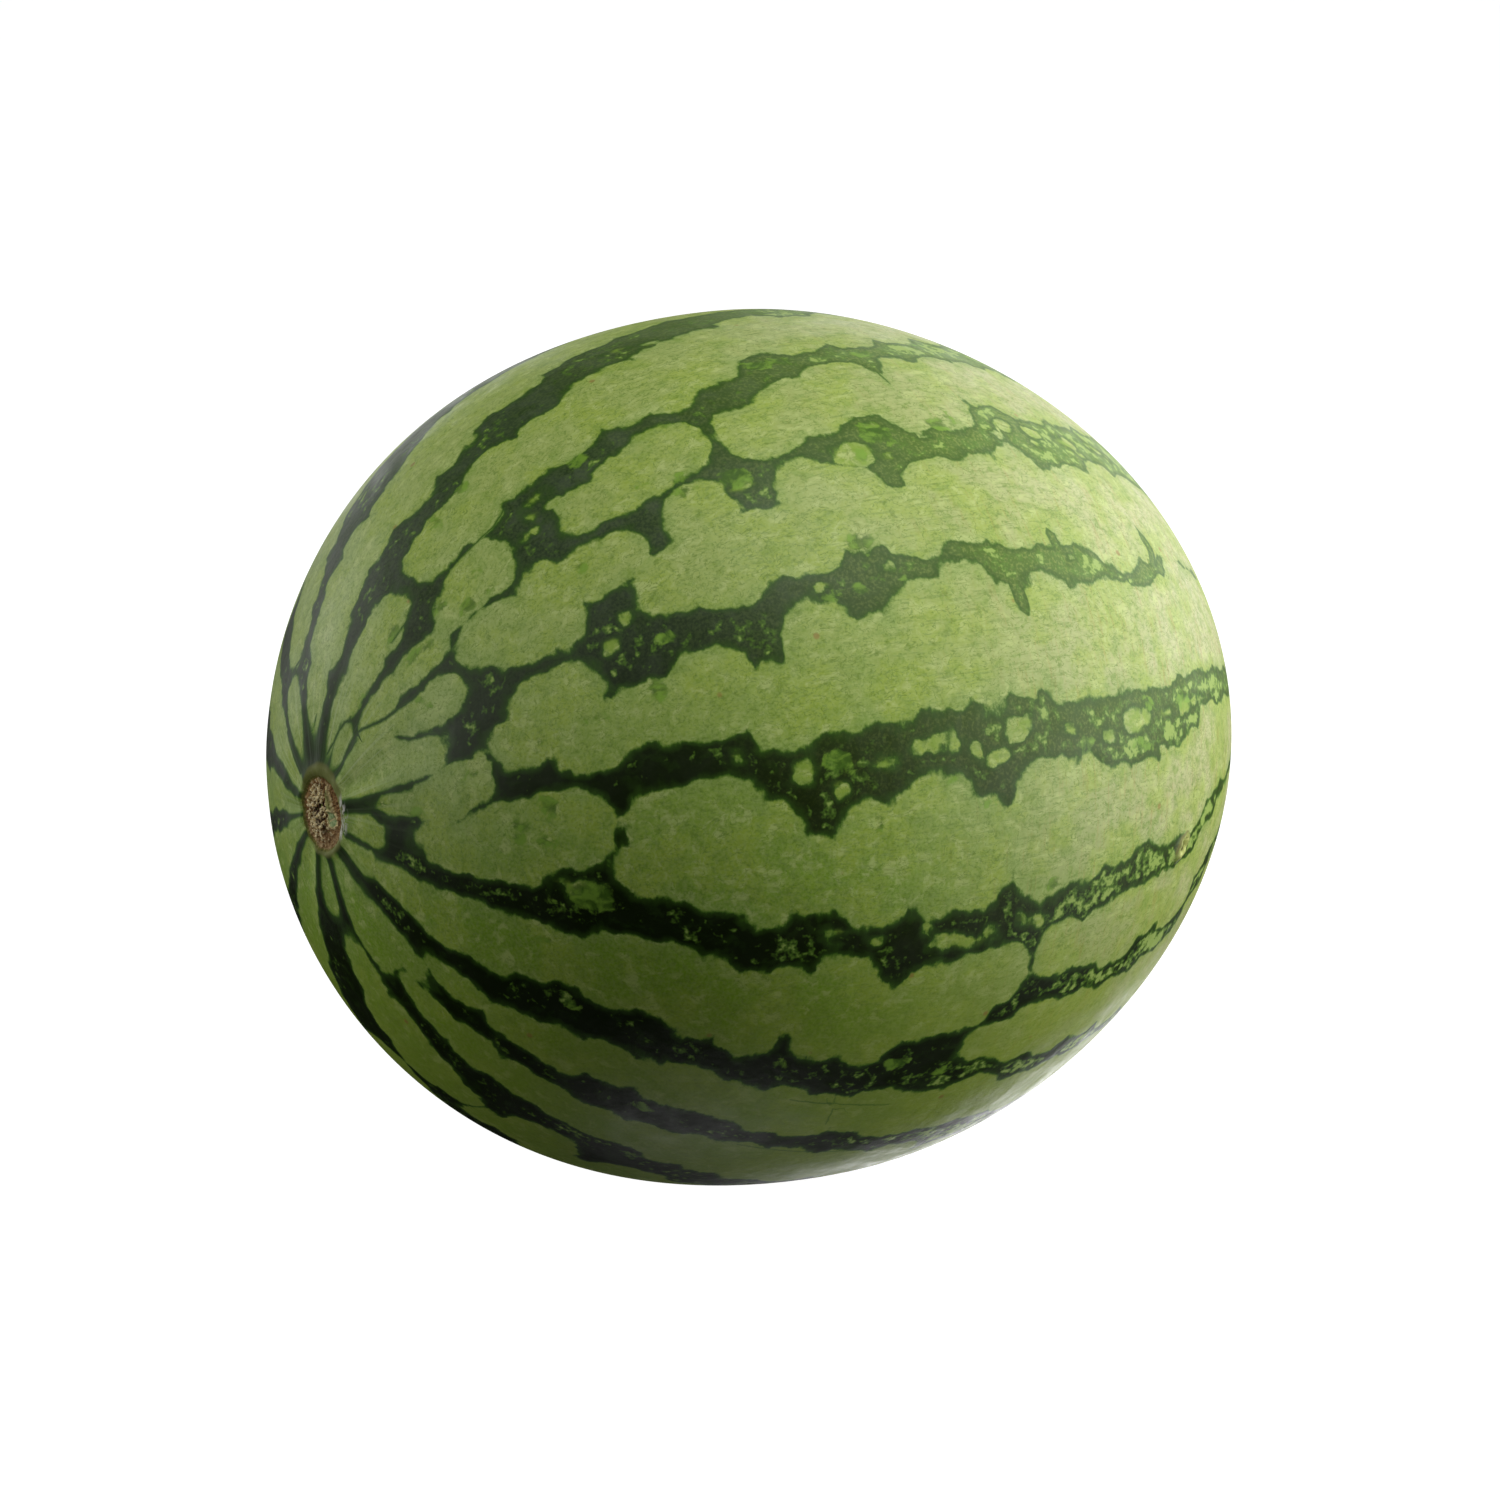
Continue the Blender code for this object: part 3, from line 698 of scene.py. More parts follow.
def lane_lobes():
    """Every pale lobe of the two groups of lanes, with the lanes run on over the side turned away."""
    draw = np.random.default_rng(LANE_SEED)
    groups = ([], [])

    def grow(first_turn, last_turn, half_turn, start, end):
        count = max(2, round((end - start) / LANE_STEP) + 1)
        for share in np.linspace(0, 1, count):
            polar = start + share * (end - start)
            sway, widen, lengthen = draw.uniform(-1, 1, 3)
            turn = first_turn + share * (last_turn - first_turn) + LANE_SWAY * sway
            half = LANE_STEP * (LOBE_STEPS + LOBE_LENGTH_VARIES * lengthen)
            yield polar, turn, half, half_turn * (1 + LOBE_WIDTH_VARIES * widen)

    for name, lobes in LANES.items():
        group = groups[0 if name in LANES_A else 1]
        group.extend(lobes)
        polar, turn, _, half_turn = lobes[-1]
        if polar > LANE_RUNS_ON:
            group.extend(grow(turn, turn, half_turn, polar + LANE_STEP, LANE_END))
    for name, (first_turn, last_turn, half_turn, start, end) in GROWN_LANES.items():
        group = groups[0 if name in LANES_A else 1]
        group.extend(grow(first_turn, last_turn, half_turn, start, end))
        if end > LANE_RUNS_ON:
            group.extend(grow(last_turn, last_turn, half_turn, end + LANE_STEP, LANE_END))
    return groups


def turned_apart(turn, middle):
    """Degrees from one turn to another, the short way round."""
    return (turn - middle + 180) % 360 - 180


def depth_in(spots, polar, turn, mm_polar, mm_turn):
    """Millimetres inside the nearest of some rounded spots, negative outside all of them."""
    deepest = np.full(polar.shape, -DEEPEST_MM)
    for middle, middle_turn, half, half_turn in spots:
        near = np.abs(polar - middle) < half + SPOT_SEARCH
        off = np.abs(polar[near] - middle) / half
        off_turn = np.abs(turned_apart(turn[near], middle_turn)) / half_turn
        ring = (off**LOBE_POWER + off_turn**LOBE_POWER) ** (1 / LOBE_POWER)
        size = np.minimum(half * mm_polar[near], half_turn * mm_turn[near])
        deepest[near] = np.maximum(deepest[near], (1 - ring) * size)
    return deepest


def stroke_fields(strokes, polar, turn, mm_polar, mm_turn):
    """Signed millimetres from the nearest stroke's middle line, and its half width, 0 away from it."""
    nearest = np.full(polar.shape, DEEPEST_MM)
    offset = np.full(polar.shape, DEEPEST_MM)
    half = np.zeros(polar.shape)
    for half_width, *points in strokes:
        for (start, start_turn), (end, end_turn) in zip(points, points[1:]):
            reach = abs(end - start) / 2 + STROKE_SEARCH
            near = np.nonzero(np.abs(polar - (start + end) / 2) < reach)[0]
            scale_t, scale_l = mm_polar[near], mm_turn[near]
            from_t = (polar[near] - start) * scale_t
            from_l = turned_apart(turn[near], start_turn) * scale_l
            run_t, run_l = (end - start) * scale_t, (end_turn - start_turn) * scale_l
            run = np.hypot(run_t, run_l)
            share = (from_t * run_t + from_l * run_l) / run**2
            beyond = (np.abs(share - 0.5) - 0.5).clip(0) * run
            side = (from_t * run_l - from_l * run_t) / run
            distance = np.hypot(side, beyond)
            closer = distance < nearest[near]
            chosen = near[closer]
            nearest[chosen] = distance[closer]
            offset[chosen] = side[closer]
            fade = np.clip(1 - beyond[closer] / STROKE_FADE_MM, 0, 1)
            half[chosen] = half_width * fade * (distance[closer] < STROKE_REACH_MM)
    return offset, half


def keep(mesh, fields):
    """Keeps named values of its points on the mesh."""
    for name, values in fields.items():
        layer = mesh.attributes.new(name, "FLOAT", "POINT")
        layer.data.foreach_set("value", values.astype(np.float32))


def paint_fields(mesh, polar, turn):
    """Keeps on the mesh how far each point lies in the lobes, the strokes and the flecks, in millimetres."""
    degrees, turned = np.degrees(polar), np.degrees(turn) % 360
    step = 1e-4
    before, after = profile(polar - step), profile(polar + step)
    mm_polar = np.hypot(after[0] - before[0], after[1] - before[1]) / (2 * step) * 1000 * math.pi / 180
    radius_mm = profile(polar)[1] * 1000
    mm_turn = np.maximum(radius_mm * math.pi / 180, 0.02)
    where = (degrees, turned, mm_polar, mm_turn)
    lanes_a, lanes_b = lane_lobes()
    offset, half = stroke_fields(DARK_STROKES, *where)
    off_turn = turned_apart(turned, DRY_TURN) / DRY_HALF_TURN
    near_scar = polar < 1
    pinched = radius_mm * (1 + COLLAR_PINCH * np.sin(turn) ** 2)
    fields = {
        "dry": bell(off_turn, 1.0) * bell(radius_mm - DRY_RADIUS_MM, DRY_WIDTH_MM) * near_scar,
        "lane_a": depth_in(lanes_a, *where),
        "lane_b": depth_in(lanes_b, *where),
        "green": depth_in(GREEN_PATCHES, *where),
        "island": depth_in(PALE_ISLANDS, *where),
        "stroke_offset": offset,
        "stroke_half": half,
        "from_stem": np.where(polar < math.pi / 2, radius_mm, FAR_MM),
        "collar": np.where(near_scar, pinched, FAR_MM),
        "from_blossom": np.where(polar > math.pi / 2, radius_mm, FAR_MM),
    }
    keep(mesh, fields)
    rays = np.stack([np.cos(turn), np.sin(turn), polar], -1)
    layer = mesh.attributes.new("ray", "FLOAT_VECTOR", "POINT")
    layer.data.foreach_set("vector", rays.astype(np.float32).ravel())


def rind_material():
    """Waxy rind: scalloped pigment on the ground colour, with fine veins, a thin bloom of wax, and light,
    sheen and shade painted into its colour by height and along its length.
    """
    material, tree, shader = new_finish("waxy_rind")
    place = add(tree, "ShaderNodeTexCoord").node.outputs["Object"]

    # What the mesh keeps, where the point is, and the grains of noise
    at = {}
    kept = ("lane_a", "lane_b", "stroke_offset", "stroke_half", "green", "island", "from_stem")
    for name in kept + ("from_blossom", "collar", "dry", "callus", "scorch", "tear"):
        at[name] = add(tree, "ShaderNodeAttribute", attribute_name=name).node.outputs["Fac"]
    parted = add(tree, "ShaderNodeSeparateXYZ", {0: place}).node.outputs
    at["along"], at["height"] = parted["X"], parted["Z"]
    for name, (along_mm, round_mm, octaves, swirl, seed) in SKIN_GRAINS.items():
        scale = (1000 / along_mm, 1000 / round_mm, 1000 / round_mm)
        spread = {"Vector": place, "Location": (seed, seed, seed), "Scale": scale}
        spread = add(tree, "ShaderNodeMapping", spread)
        links = {"Vector": spread, "Scale": 1.0, "Detail": octaves, "Roughness": 0.6, "Distortion": swirl}
        at[name] = add(tree, "ShaderNodeTexNoise", links)
    ray = add(tree, "ShaderNodeAttribute", attribute_name="ray").node.outputs["Vector"]
    ray_scale = (RAY_COUNT / 2 / math.pi, RAY_COUNT / 2 / math.pi, 1 / RAY_LENGTH)
    spread = add(tree, "ShaderNodeMapping", {"Vector": ray, "Scale": ray_scale})
    at["ray_grain"] = add(tree, "ShaderNodeTexNoise", {"Vector": spread, "Scale": 1.0, "Detail": 3.0})
    at["vein_line"] = add(tree, "ShaderNodeMath", {0: at["vein"], 1: 0.5}, operation="PINGPONG")
    crazed = add(tree, "ShaderNodeMapping", {"Vector": place, "Scale": CRACKS_PER_METRE})
    links = {"Vector": crazed, "Scale": 1.0, "Detail": 3.0, "Distortion": 0.8}
    at["crack"] = add(tree, "ShaderNodeTexNoise", links)

    # How far a point lies in the ground colour, in millimetres: in a lobe or an island, and off every stroke
    edge = -sum(EDGE_SWINGS_MM.values()) / 2
    for name, swing_mm in EDGE_SWINGS_MM.items():
        edge = add(tree, "ShaderNodeMath", {0: at[name], 1: swing_mm, 2: edge}, operation="MULTIPLY_ADD")
    in_collar = {0: COLLAR_GROUND_MM, 1: at["collar"]}
    in_collar = add(tree, "ShaderNodeMath", in_collar, operation="SUBTRACT")
    in_dimple = {0: DIMPLE_GROUND_MM, 1: at["from_blossom"]}
    in_dimple = add(tree, "ShaderNodeMath", in_dimple, operation="SUBTRACT")
    lanes = at["lane_a"]
    for other in (at["lane_b"], in_collar, in_dimple):
        lanes = add(tree, "ShaderNodeMath", {0: lanes, 1: other}, operation="MAXIMUM")
    away = {"Value": at["from_stem"], "From Min": EDGE_CALM_MM, "From Max": EDGE_FREE_MM}
    away = add(tree, "ShaderNodeMapRange", away)
    lanes = add(tree, "ShaderNodeMath", {0: edge, 1: away, 2: lanes}, operation="MULTIPLY_ADD")
    shift = add(tree, "ShaderNodeMath", {0: at["tooth"], 1: 0.5}, operation="SUBTRACT")
    stroke = add(tree, "ShaderNodeMath", {0: at["stroke_offset"], 1: shift}, operation="ADD")
    stroke = add(tree, "ShaderNodeMath", {0: stroke}, operation="ABSOLUTE")
    stroke = add(tree, "ShaderNodeMath", {0: stroke, 1: at["stroke_half"]}, operation="SUBTRACT")
    none = {0: at["stroke_half"], 1: THINNEST_STROKE_MM}
    none = add(tree, "ShaderNodeMath", none, operation="LESS_THAN")
    stroke = add(tree, "ShaderNodeMath", {0: none, 1: NO_STROKE_MM, 2: stroke}, operation="MULTIPLY_ADD")
    island = {0: edge, 1: ISLAND_RAGGED, 2: at["island"]}
    island = add(tree, "ShaderNodeMath", island, operation="MULTIPLY_ADD")
    ground = add(tree, "ShaderNodeMath", {0: lanes, 1: stroke}, operation="MINIMUM")
    at["ground"] = add(tree, "ShaderNodeMath", {0: ground, 1: island}, operation="MAXIMUM")
    patch = {0: at["blotch"], 1: PATCH_MOTTLE_MM, 2: -PATCH_MOTTLE_MM / 2}
    patch = add(tree, "ShaderNodeMath", patch, operation="MULTIPLY_ADD")
    for other in (edge, at["green"]):
        patch = add(tree, "ShaderNodeMath", {0: patch, 1: other}, operation="ADD")
    at["patch"] = patch

    # Flecks of ground colour lie in clusters in the stripes, more of them toward the blossom end
    blossomward = {"Value": at["along"], "From Min": -0.07, "From Max": 0.07}
    at["blossomward"] = add(tree, "ShaderNodeMapRange", blossomward)
    brink = {"Value": at["ground"], "From Min": -2.2, "From Max": -0.6}
    at["brink"] = add(tree, "ShaderNodeMapRange", brink)
    depth = FLECK_START
    for name, weight in FLECK_WEIGHTS.items():
        depth = add(tree, "ShaderNodeMath", {0: at[name], 1: weight, 2: depth}, operation="MULTIPLY_ADD")
    at["fleck_depth"] = depth
    cells = {"Vector": place, "Scale": 1000 / FRECKLE_SPACING_MM}
    freckles = add(tree, "ShaderNodeTexVoronoi", cells).node.outputs
    chosen = add(tree, "ShaderNodeSeparateColor", {0: freckles["Color"]})
    passed_over = add(tree, "ShaderNodeMath", {0: chosen, 1: FRECKLES_LEFT_OUT}, operation="LESS_THAN")
    at["freckle"] = add(tree, "ShaderNodeMath", {0: freckles["Distance"], 1: passed_over}, operation="ADD")
    # Where the fruit rests, the skin never saw light: a small cream spot with soft edges
    bed = {0: at["shade"], 1: BED_WAVER, 2: at["height"]}
    at["bed"] = add(tree, "ShaderNodeMath", bed, operation="MULTIPLY_ADD")

    shares = {}
    for name, (source, start, full, most) in SKIN_SHARES.items():
        links = {"Value": at[source], "From Min": start, "From Max": full, "To Max": most}
        shares[name] = add(tree, "ShaderNodeMapRange", links, interpolation_type="SMOOTHSTEP")
    for name, other in SKIN_PRODUCTS:
        both = {0: shares[name], 1: shares[other]}
        shares[name] = add(tree, "ShaderNodeMath", both, operation="MULTIPLY")
    paints = {}
    for name, (base, layers) in SKIN_PAINTS.items():
        colour = paints.get(base) or linear(base)
        for share, tint in layers:
            over = paints.get(tint) or linear(tint)
            colour = add(tree, "ShaderNodeMix", {0: shares[share], 6: colour, 7: over}, data_type="RGBA")
        paints[name] = colour
    tree.links.new(paints["skin"], shader.inputs["Base Color"])

    # The wax is duller where its bloom is thick and near the stem. The rind has low dents and fine pores
    wax = {"Value": at["bloom"], "From Min": 0.35, "From Max": 0.65}
    wax["To Min"], wax["To Max"] = WAX_SHINE
    wax = add(tree, "ShaderNodeMapRange", wax)
    wax = {0: shares["near_stem"], 1: WAX_DULLER_AT_STEM, 2: wax}
    wax = add(tree, "ShaderNodeMath", wax, operation="MULTIPLY_ADD")
    tree.links.new(wax, shader.inputs["Roughness"])
    shader.inputs["IOR"].default_value = WAX_IOR
    dents = add(tree, "ShaderNodeBump", {"Height": at["swell"], "Strength": 0.5, "Distance": 0.0005})
    pores = {"Height": at["blotch"], "Strength": 0.3, "Distance": 0.0003, "Normal": dents}
    tree.links.new(add(tree, "ShaderNodeBump", pores), shader.inputs["Normal"])
    return material


rind_finish = rind_material()
body_sizes = {
    "Length": LENGTH, "Diameter": DIAMETER, "Stem Shoulder": STEM_SHOULDER, "Blossom Taper": BLOSSOM_TAPER,
    "End Crowding": END_CROWDING, "Segments": RIND_SEGMENTS, "Rings": RIND_RINGS, "Rind": rind_finish,
}
rind = made_by_nodes("rind", grown_body_tree(), body_sizes)


def kept_values(mesh, name):
    """A float attribute of the mesh's points."""
    values = np.empty(len(mesh.vertices), np.float32)
    mesh.attributes[name].data.foreach_get("value", values)
    return values.astype(float)


polar, turn = kept_values(rind.data, "polar"), kept_values(rind.data, "turn")
spots = np.empty(len(rind.data.vertices) * 3)
rind.data.vertices.foreach_get("co", spots)
spots = spots.reshape(-1, 3)
straight_out = np.empty(len(rind.data.vertices) * 3, np.float32)
rind.data.vertex_normals.foreach_get("vector", straight_out)
spots += straight_out.reshape(-1, 3) * (relief(polar, turn) - sunk_under(polar, turn))[:, None]
to_frame = np.array(
    [
        fruit_middle.x - (spots[:, 0].min() + spots[:, 0].max()) / 2,
        fruit_middle.y - (spots[:, 1].min() + spots[:, 1].max()) / 2,
        fruit_high.z - spots[:, 2].max(),
    ]
)
spots += to_frame
spots[:, 2] = spots[:, 2].clip(0)
rind.data.vertices.foreach_set("co", spots.ravel())
rind.data.update()
rind.data.shade_smooth()
paint_fields(rind.data, polar, turn)
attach(rind, "root")
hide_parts("watermelon")


# The stem scar
# Where the stalk came away, the fruit sealed itself with cork: a dished brown disc, crumbly in the middle,
# with a torn green facet of the stalk left on it, inside a smooth olive collar of rind.
CAP_RIM_WIDTH = 0.0010
CAP_RIM_DROP = 0.0003
SCAR_FILL = 0.0003
CRUMB_HEIGHT = 0.0009
CRUMB_MM = 1.2
FIBRE_HEIGHT = 0.00016
FIBRE_COUNT = 46
STEM_CAP_RINGS = 150
STEM_CAP_SPOKES = 300
# Crumbs lie thickest about this place of the disc, given in shares of its radius as are all places on it
CRUMBS_ASIDE = 0.1
CRUMBS_UP = 0.05
CRUMBS_WIDE = 0.62
CRUMBS_TALL = 0.8
CRUMB_SEED = 3.7
CRUMBS_REACH = 1.15
CORK_BROWN = "#7a5530"
CORK_GRIT_MM = 0.4
# Layers of the cork: the field that they lie in, their grain, and their pale and their deep colour
CORK_LAYERS = (
    ("", 0.8, "#a3804e", "#654726"),
    ("fibre", 0.5, "#b79c6e", "#6d4b28"),
    ("crest", 0.5, "#fbf0c6", "#d2ba7c"),
    # The pits: the cork's own dark gaps, deepened to near black with painted shade where the crumbs are low
    ("pit", 0.5, "#56381f", "#2c1a0d"),
    ("facet", 0.9, "#aca868", "#6a7338"),
    ("stub", 0.8, "#a9ba84", "#6a8550"),
    ("edge", 0.4, "#efe3ae", "#cdb97c"),
    ("brim", 0.8, "#75742f", "#585f22"),
)
# The torn facet: its two ends as across and up, and the green stub at its foot
FACET_TOP = (0.16, 0.78)
FACET_FOOT = (0.56, -0.06)
FACET_HALF = 0.17
STUB_RADIUS = 0.24
FACET_RISE = 0.0007
STUB_RIM_RISE = 0.0004
STUB_DISH = 0.0002


def dive_of_rim(out, reach):
    """How far a fine piece has dived into the rind, from 0 inside its rim to 1 at its edge."""
    return np.clip((out - reach + CAP_RIM_WIDTH) / CAP_RIM_WIDTH, 0, 1) ** 2


def fan_and_rings(rings, spokes):
    """Faces of a round patch: a fan about its middle point, and rings of quads outside the fan."""
    faces = [(0, 1 + spoke, 1 + (spoke + 1) % spokes) for spoke in range(spokes)]
    for ring in range(rings - 1):
        first = 1 + ring * spokes
        for spoke in range(spokes):
            after = (spoke + 1) % spokes
            faces.append((first + spoke, first + spokes + spoke, first + spokes + after, first + after))
    return faces


def piece_of_rind(name, points, faces, polar, turn):
    """A fine piece of rind, with the rind's pattern kept on its mesh and the rind's material on it."""
    mesh = bpy.data.meshes.new(name)
    mesh.from_pydata((points + to_frame).tolist(), [], faces)
    mesh.shade_smooth()
    paint_fields(mesh, polar, turn)
    mesh.materials.append(rind_finish)
    piece = bpy.data.objects.new(name, mesh)
    bpy.context.collection.objects.link(piece)
    return piece


def end_cap(name, at_stem, reach, rings, spokes, extra):
    """A fine piece of rind over one end. Its rim dives into the rind, and extra gives its relief."""
    table = np.linspace(0, 0.4, 800)
    angles = np.interp(reach * np.arange(rings + 1) / rings, profile(table)[1], table)
    polar = np.concatenate([[0.0], np.repeat(angles[1:], spokes)])
    turn = np.concatenate([[0.0], np.tile(np.arange(spokes) * 2 * math.pi / spokes, rings)])
    if not at_stem:
        polar = math.pi - polar
    radius = profile(polar)[1]
    points = on_rind(polar, turn, extra(radius, turn) - CAP_RIM_DROP * dive_of_rim(radius, reach))
    faces = fan_and_rings(rings, spokes)
    if at_stem:
        faces = [face[::-1] for face in faces]
    return piece_of_rind(name, points, faces, polar, turn), radius, turn


def in_scar_disc(radius, turn):
    """Across and up from the cork disc's middle, and the distance, in shares of its radius."""
    across = (radius * np.sin(turn) + SCAR_ASIDE) / SCAR_RADIUS
    up = (radius * np.cos(turn) + SCAR_DROP) / SCAR_RADIUS
    return across, up, np.hypot(across, up)


def facet_fields(across, up):
    """How far a point of the disc lies inside the torn facet and inside the stub at its foot, as shares."""
    run = np.subtract(FACET_FOOT, FACET_TOP)
    share = ((across - FACET_TOP[0]) * run[0] + (up - FACET_TOP[1]) * run[1]) / (run @ run)
    side = np.abs((across - FACET_TOP[0]) * run[1] - (up - FACET_TOP[1]) * run[0]) / np.hypot(*run)
    facet = np.minimum(FACET_HALF * np.clip(share, 0, 1) + 0.02 - side, np.minimum(share, 1.0 - share))
    stub = STUB_RADIUS - np.hypot(across - FACET_FOOT[0] + 0.04, up - FACET_FOOT[1])
    return facet, stub


def noise_at(across, up, size_mm, seed):
    """Turbulent noise over the disc, from 0 to about 1, at a grain size in millimetres."""
    scale = SCAR_RADIUS * 1000 / size_mm
    places = zip(across * scale, up * scale)
    found = [noise.turbulence((a, b, seed), 4, False, noise_basis="PERLIN_ORIGINAL") for a, b in places]
    return np.array(found)


def crumbs_and_middle(across, up, reach):
    """The disc's crumbs as noise, and how near each point is to where they lie thickest."""
    near = reach < CRUMBS_REACH
    crumbs = np.zeros(reach.shape)
    crumbs[near] = noise_at(across[near], up[near], CRUMB_MM, CRUMB_SEED)
    return crumbs, bell(np.hypot(across + CRUMBS_ASIDE, up * CRUMBS_TALL - CRUMBS_UP), CRUMBS_WIDE)


def cork_height(radius, turn):
    """Height of the cork above the plain dished disc."""
    across, up, reach = in_scar_disc(radius, turn)
    inside = inside_of(reach, 0.97, 0.02)
    crumbs, middle = crumbs_and_middle(across, up, reach)
    facet, stub = facet_fields(across, up)
    torn = np.clip(facet / 0.06, 0, 1)
    rim_of_stub = bell(stub, 0.05)
    on_stub = np.clip(stub / 0.06, 0, 1)
    angle = np.arctan2(across, up)
    fibres = FIBRE_HEIGHT * np.cos(FIBRE_COUNT * angle + 3 * reach) * np.clip(reach * 1.6 - 0.4, 0, 1)
    rough = CRUMB_HEIGHT * (crumbs - 0.45) * (0.25 + 1.3 * middle)
    smooth = np.maximum(torn, on_stub)
    height = rough * (1 - 0.85 * smooth) + fibres * (1 - smooth)
    height += FACET_RISE * torn * (1 - 0.5 * on_stub) + STUB_RIM_RISE * rim_of_stub - STUB_DISH * on_stub
    dome = SCAR_FILL * (1 - reach**2).clip(0)
    return inside * (height + dome)


def cork_material():
    """Dry cork: matt and crumbly, red-brown at the rim, beige on its crumbs, and near black in its pits, its
    own dark gaps deepened with painted shade.
    """
    material, tree, shader = new_finish("scar_cork")
    place = add(tree, "ShaderNodeTexCoord").node.outputs["Object"]
    colour = linear(CORK_BROWN)
    for name, grain_mm, pale, deep in CORK_LAYERS:
        spots_of = {"Vector": place, "Scale": 1000 / grain_mm, "Detail": 4.0, "Roughness": 0.65}
        found = add(tree, "ShaderNodeTexNoise", spots_of)
        found = add(tree, "ShaderNodeMapRange", {"Value": found, "From Min": 0.38, "From Max": 0.62})
        tint = add(tree, "ShaderNodeMix", {0: found, 6: linear(deep), 7: linear(pale)}, data_type="RGBA")
        share = 1.0
        if name:
            share = add(tree, "ShaderNodeAttribute", attribute_name=name).node.outputs["Fac"]
        colour = add(tree, "ShaderNodeMix", {0: share, 6: colour, 7: tint}, data_type="RGBA")
    tree.links.new(colour, shader.inputs["Base Color"])
    shader.inputs["Roughness"].default_value = 0.85
    shader.inputs["IOR"].default_value = 1.4
    rough = add(tree, "ShaderNodeTexNoise", {"Vector": place, "Scale": 1000 / CORK_GRIT_MM, "Detail": 3.0})
    grit = add(tree, "ShaderNodeBump", {"Height": rough, "Strength": 0.7, "Distance": 0.00015})
    tree.links.new(grit, shader.inputs["Normal"])
    return material


stem_scar, radius, turn = end_cap("stem_scar", True, STEM_CAP, STEM_CAP_RINGS, STEM_CAP_SPOKES, cork_height)
across, up, reach = in_scar_disc(radius, turn)
facet, stub = facet_fields(across, up)
crumbs, middle = crumbs_and_middle(across, up, reach)
smooth = np.maximum(np.clip(facet / 0.05, 0, 1), np.clip(stub / 0.05, 0, 1))
cork_fields = {
    "crest": np.clip((crumbs - 0.36) / 0.12, 0, 1) * np.clip(middle * 2.6 - 0.3, 0, 1) * (1 - smooth),
    # Painted shade: the pits are laid near black where the crumbs are lowest, over the cork's own dark gaps
    "pit": np.clip((0.15 - crumbs) / 0.08, 0, 1) * np.clip(middle * 1.9 - 0.5, 0, 1) * (1 - smooth),
    "fibre": np.clip(reach * 2 - 0.7, 0, 1) * np.clip(-up * 2 - 0.2, 0, 1),
    "facet": np.clip(facet / 0.03, 0, 1),
    "stub": np.clip(stub / 0.04, 0, 1),
    "edge": np.maximum(bell(facet - 0.01, 0.022) * (facet > -0.05), bell(stub, 0.035)) * (across > -0.2),
    "brim": np.clip((reach - 0.93) / 0.05, 0, 1),
}
keep(stem_scar.data, cork_fields)
cork_finish = cork_material()
stem_scar.data.materials.append(cork_finish)
for face in stem_scar.data.polygons:
    face.material_index = int(min(reach[index] for index in face.vertices) < 1.0)
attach(stem_scar, "root")
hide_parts("watermelon")


# The cork tufts
# Crumbs of dead cork that stand on the middle of the disc, where the stalk's fibres tore. They grew fast to
# the disc, thickest beside the torn facet.
TUFT_DENSITY = 5.0e6
TUFT_SMALLEST = 0.00016
TUFT_LARGEST = 0.00046
TUFT_LUMP_HEIGHT = 0.0005
TUFT_LUMP_MM = 0.4
TUFT_SEED = 5


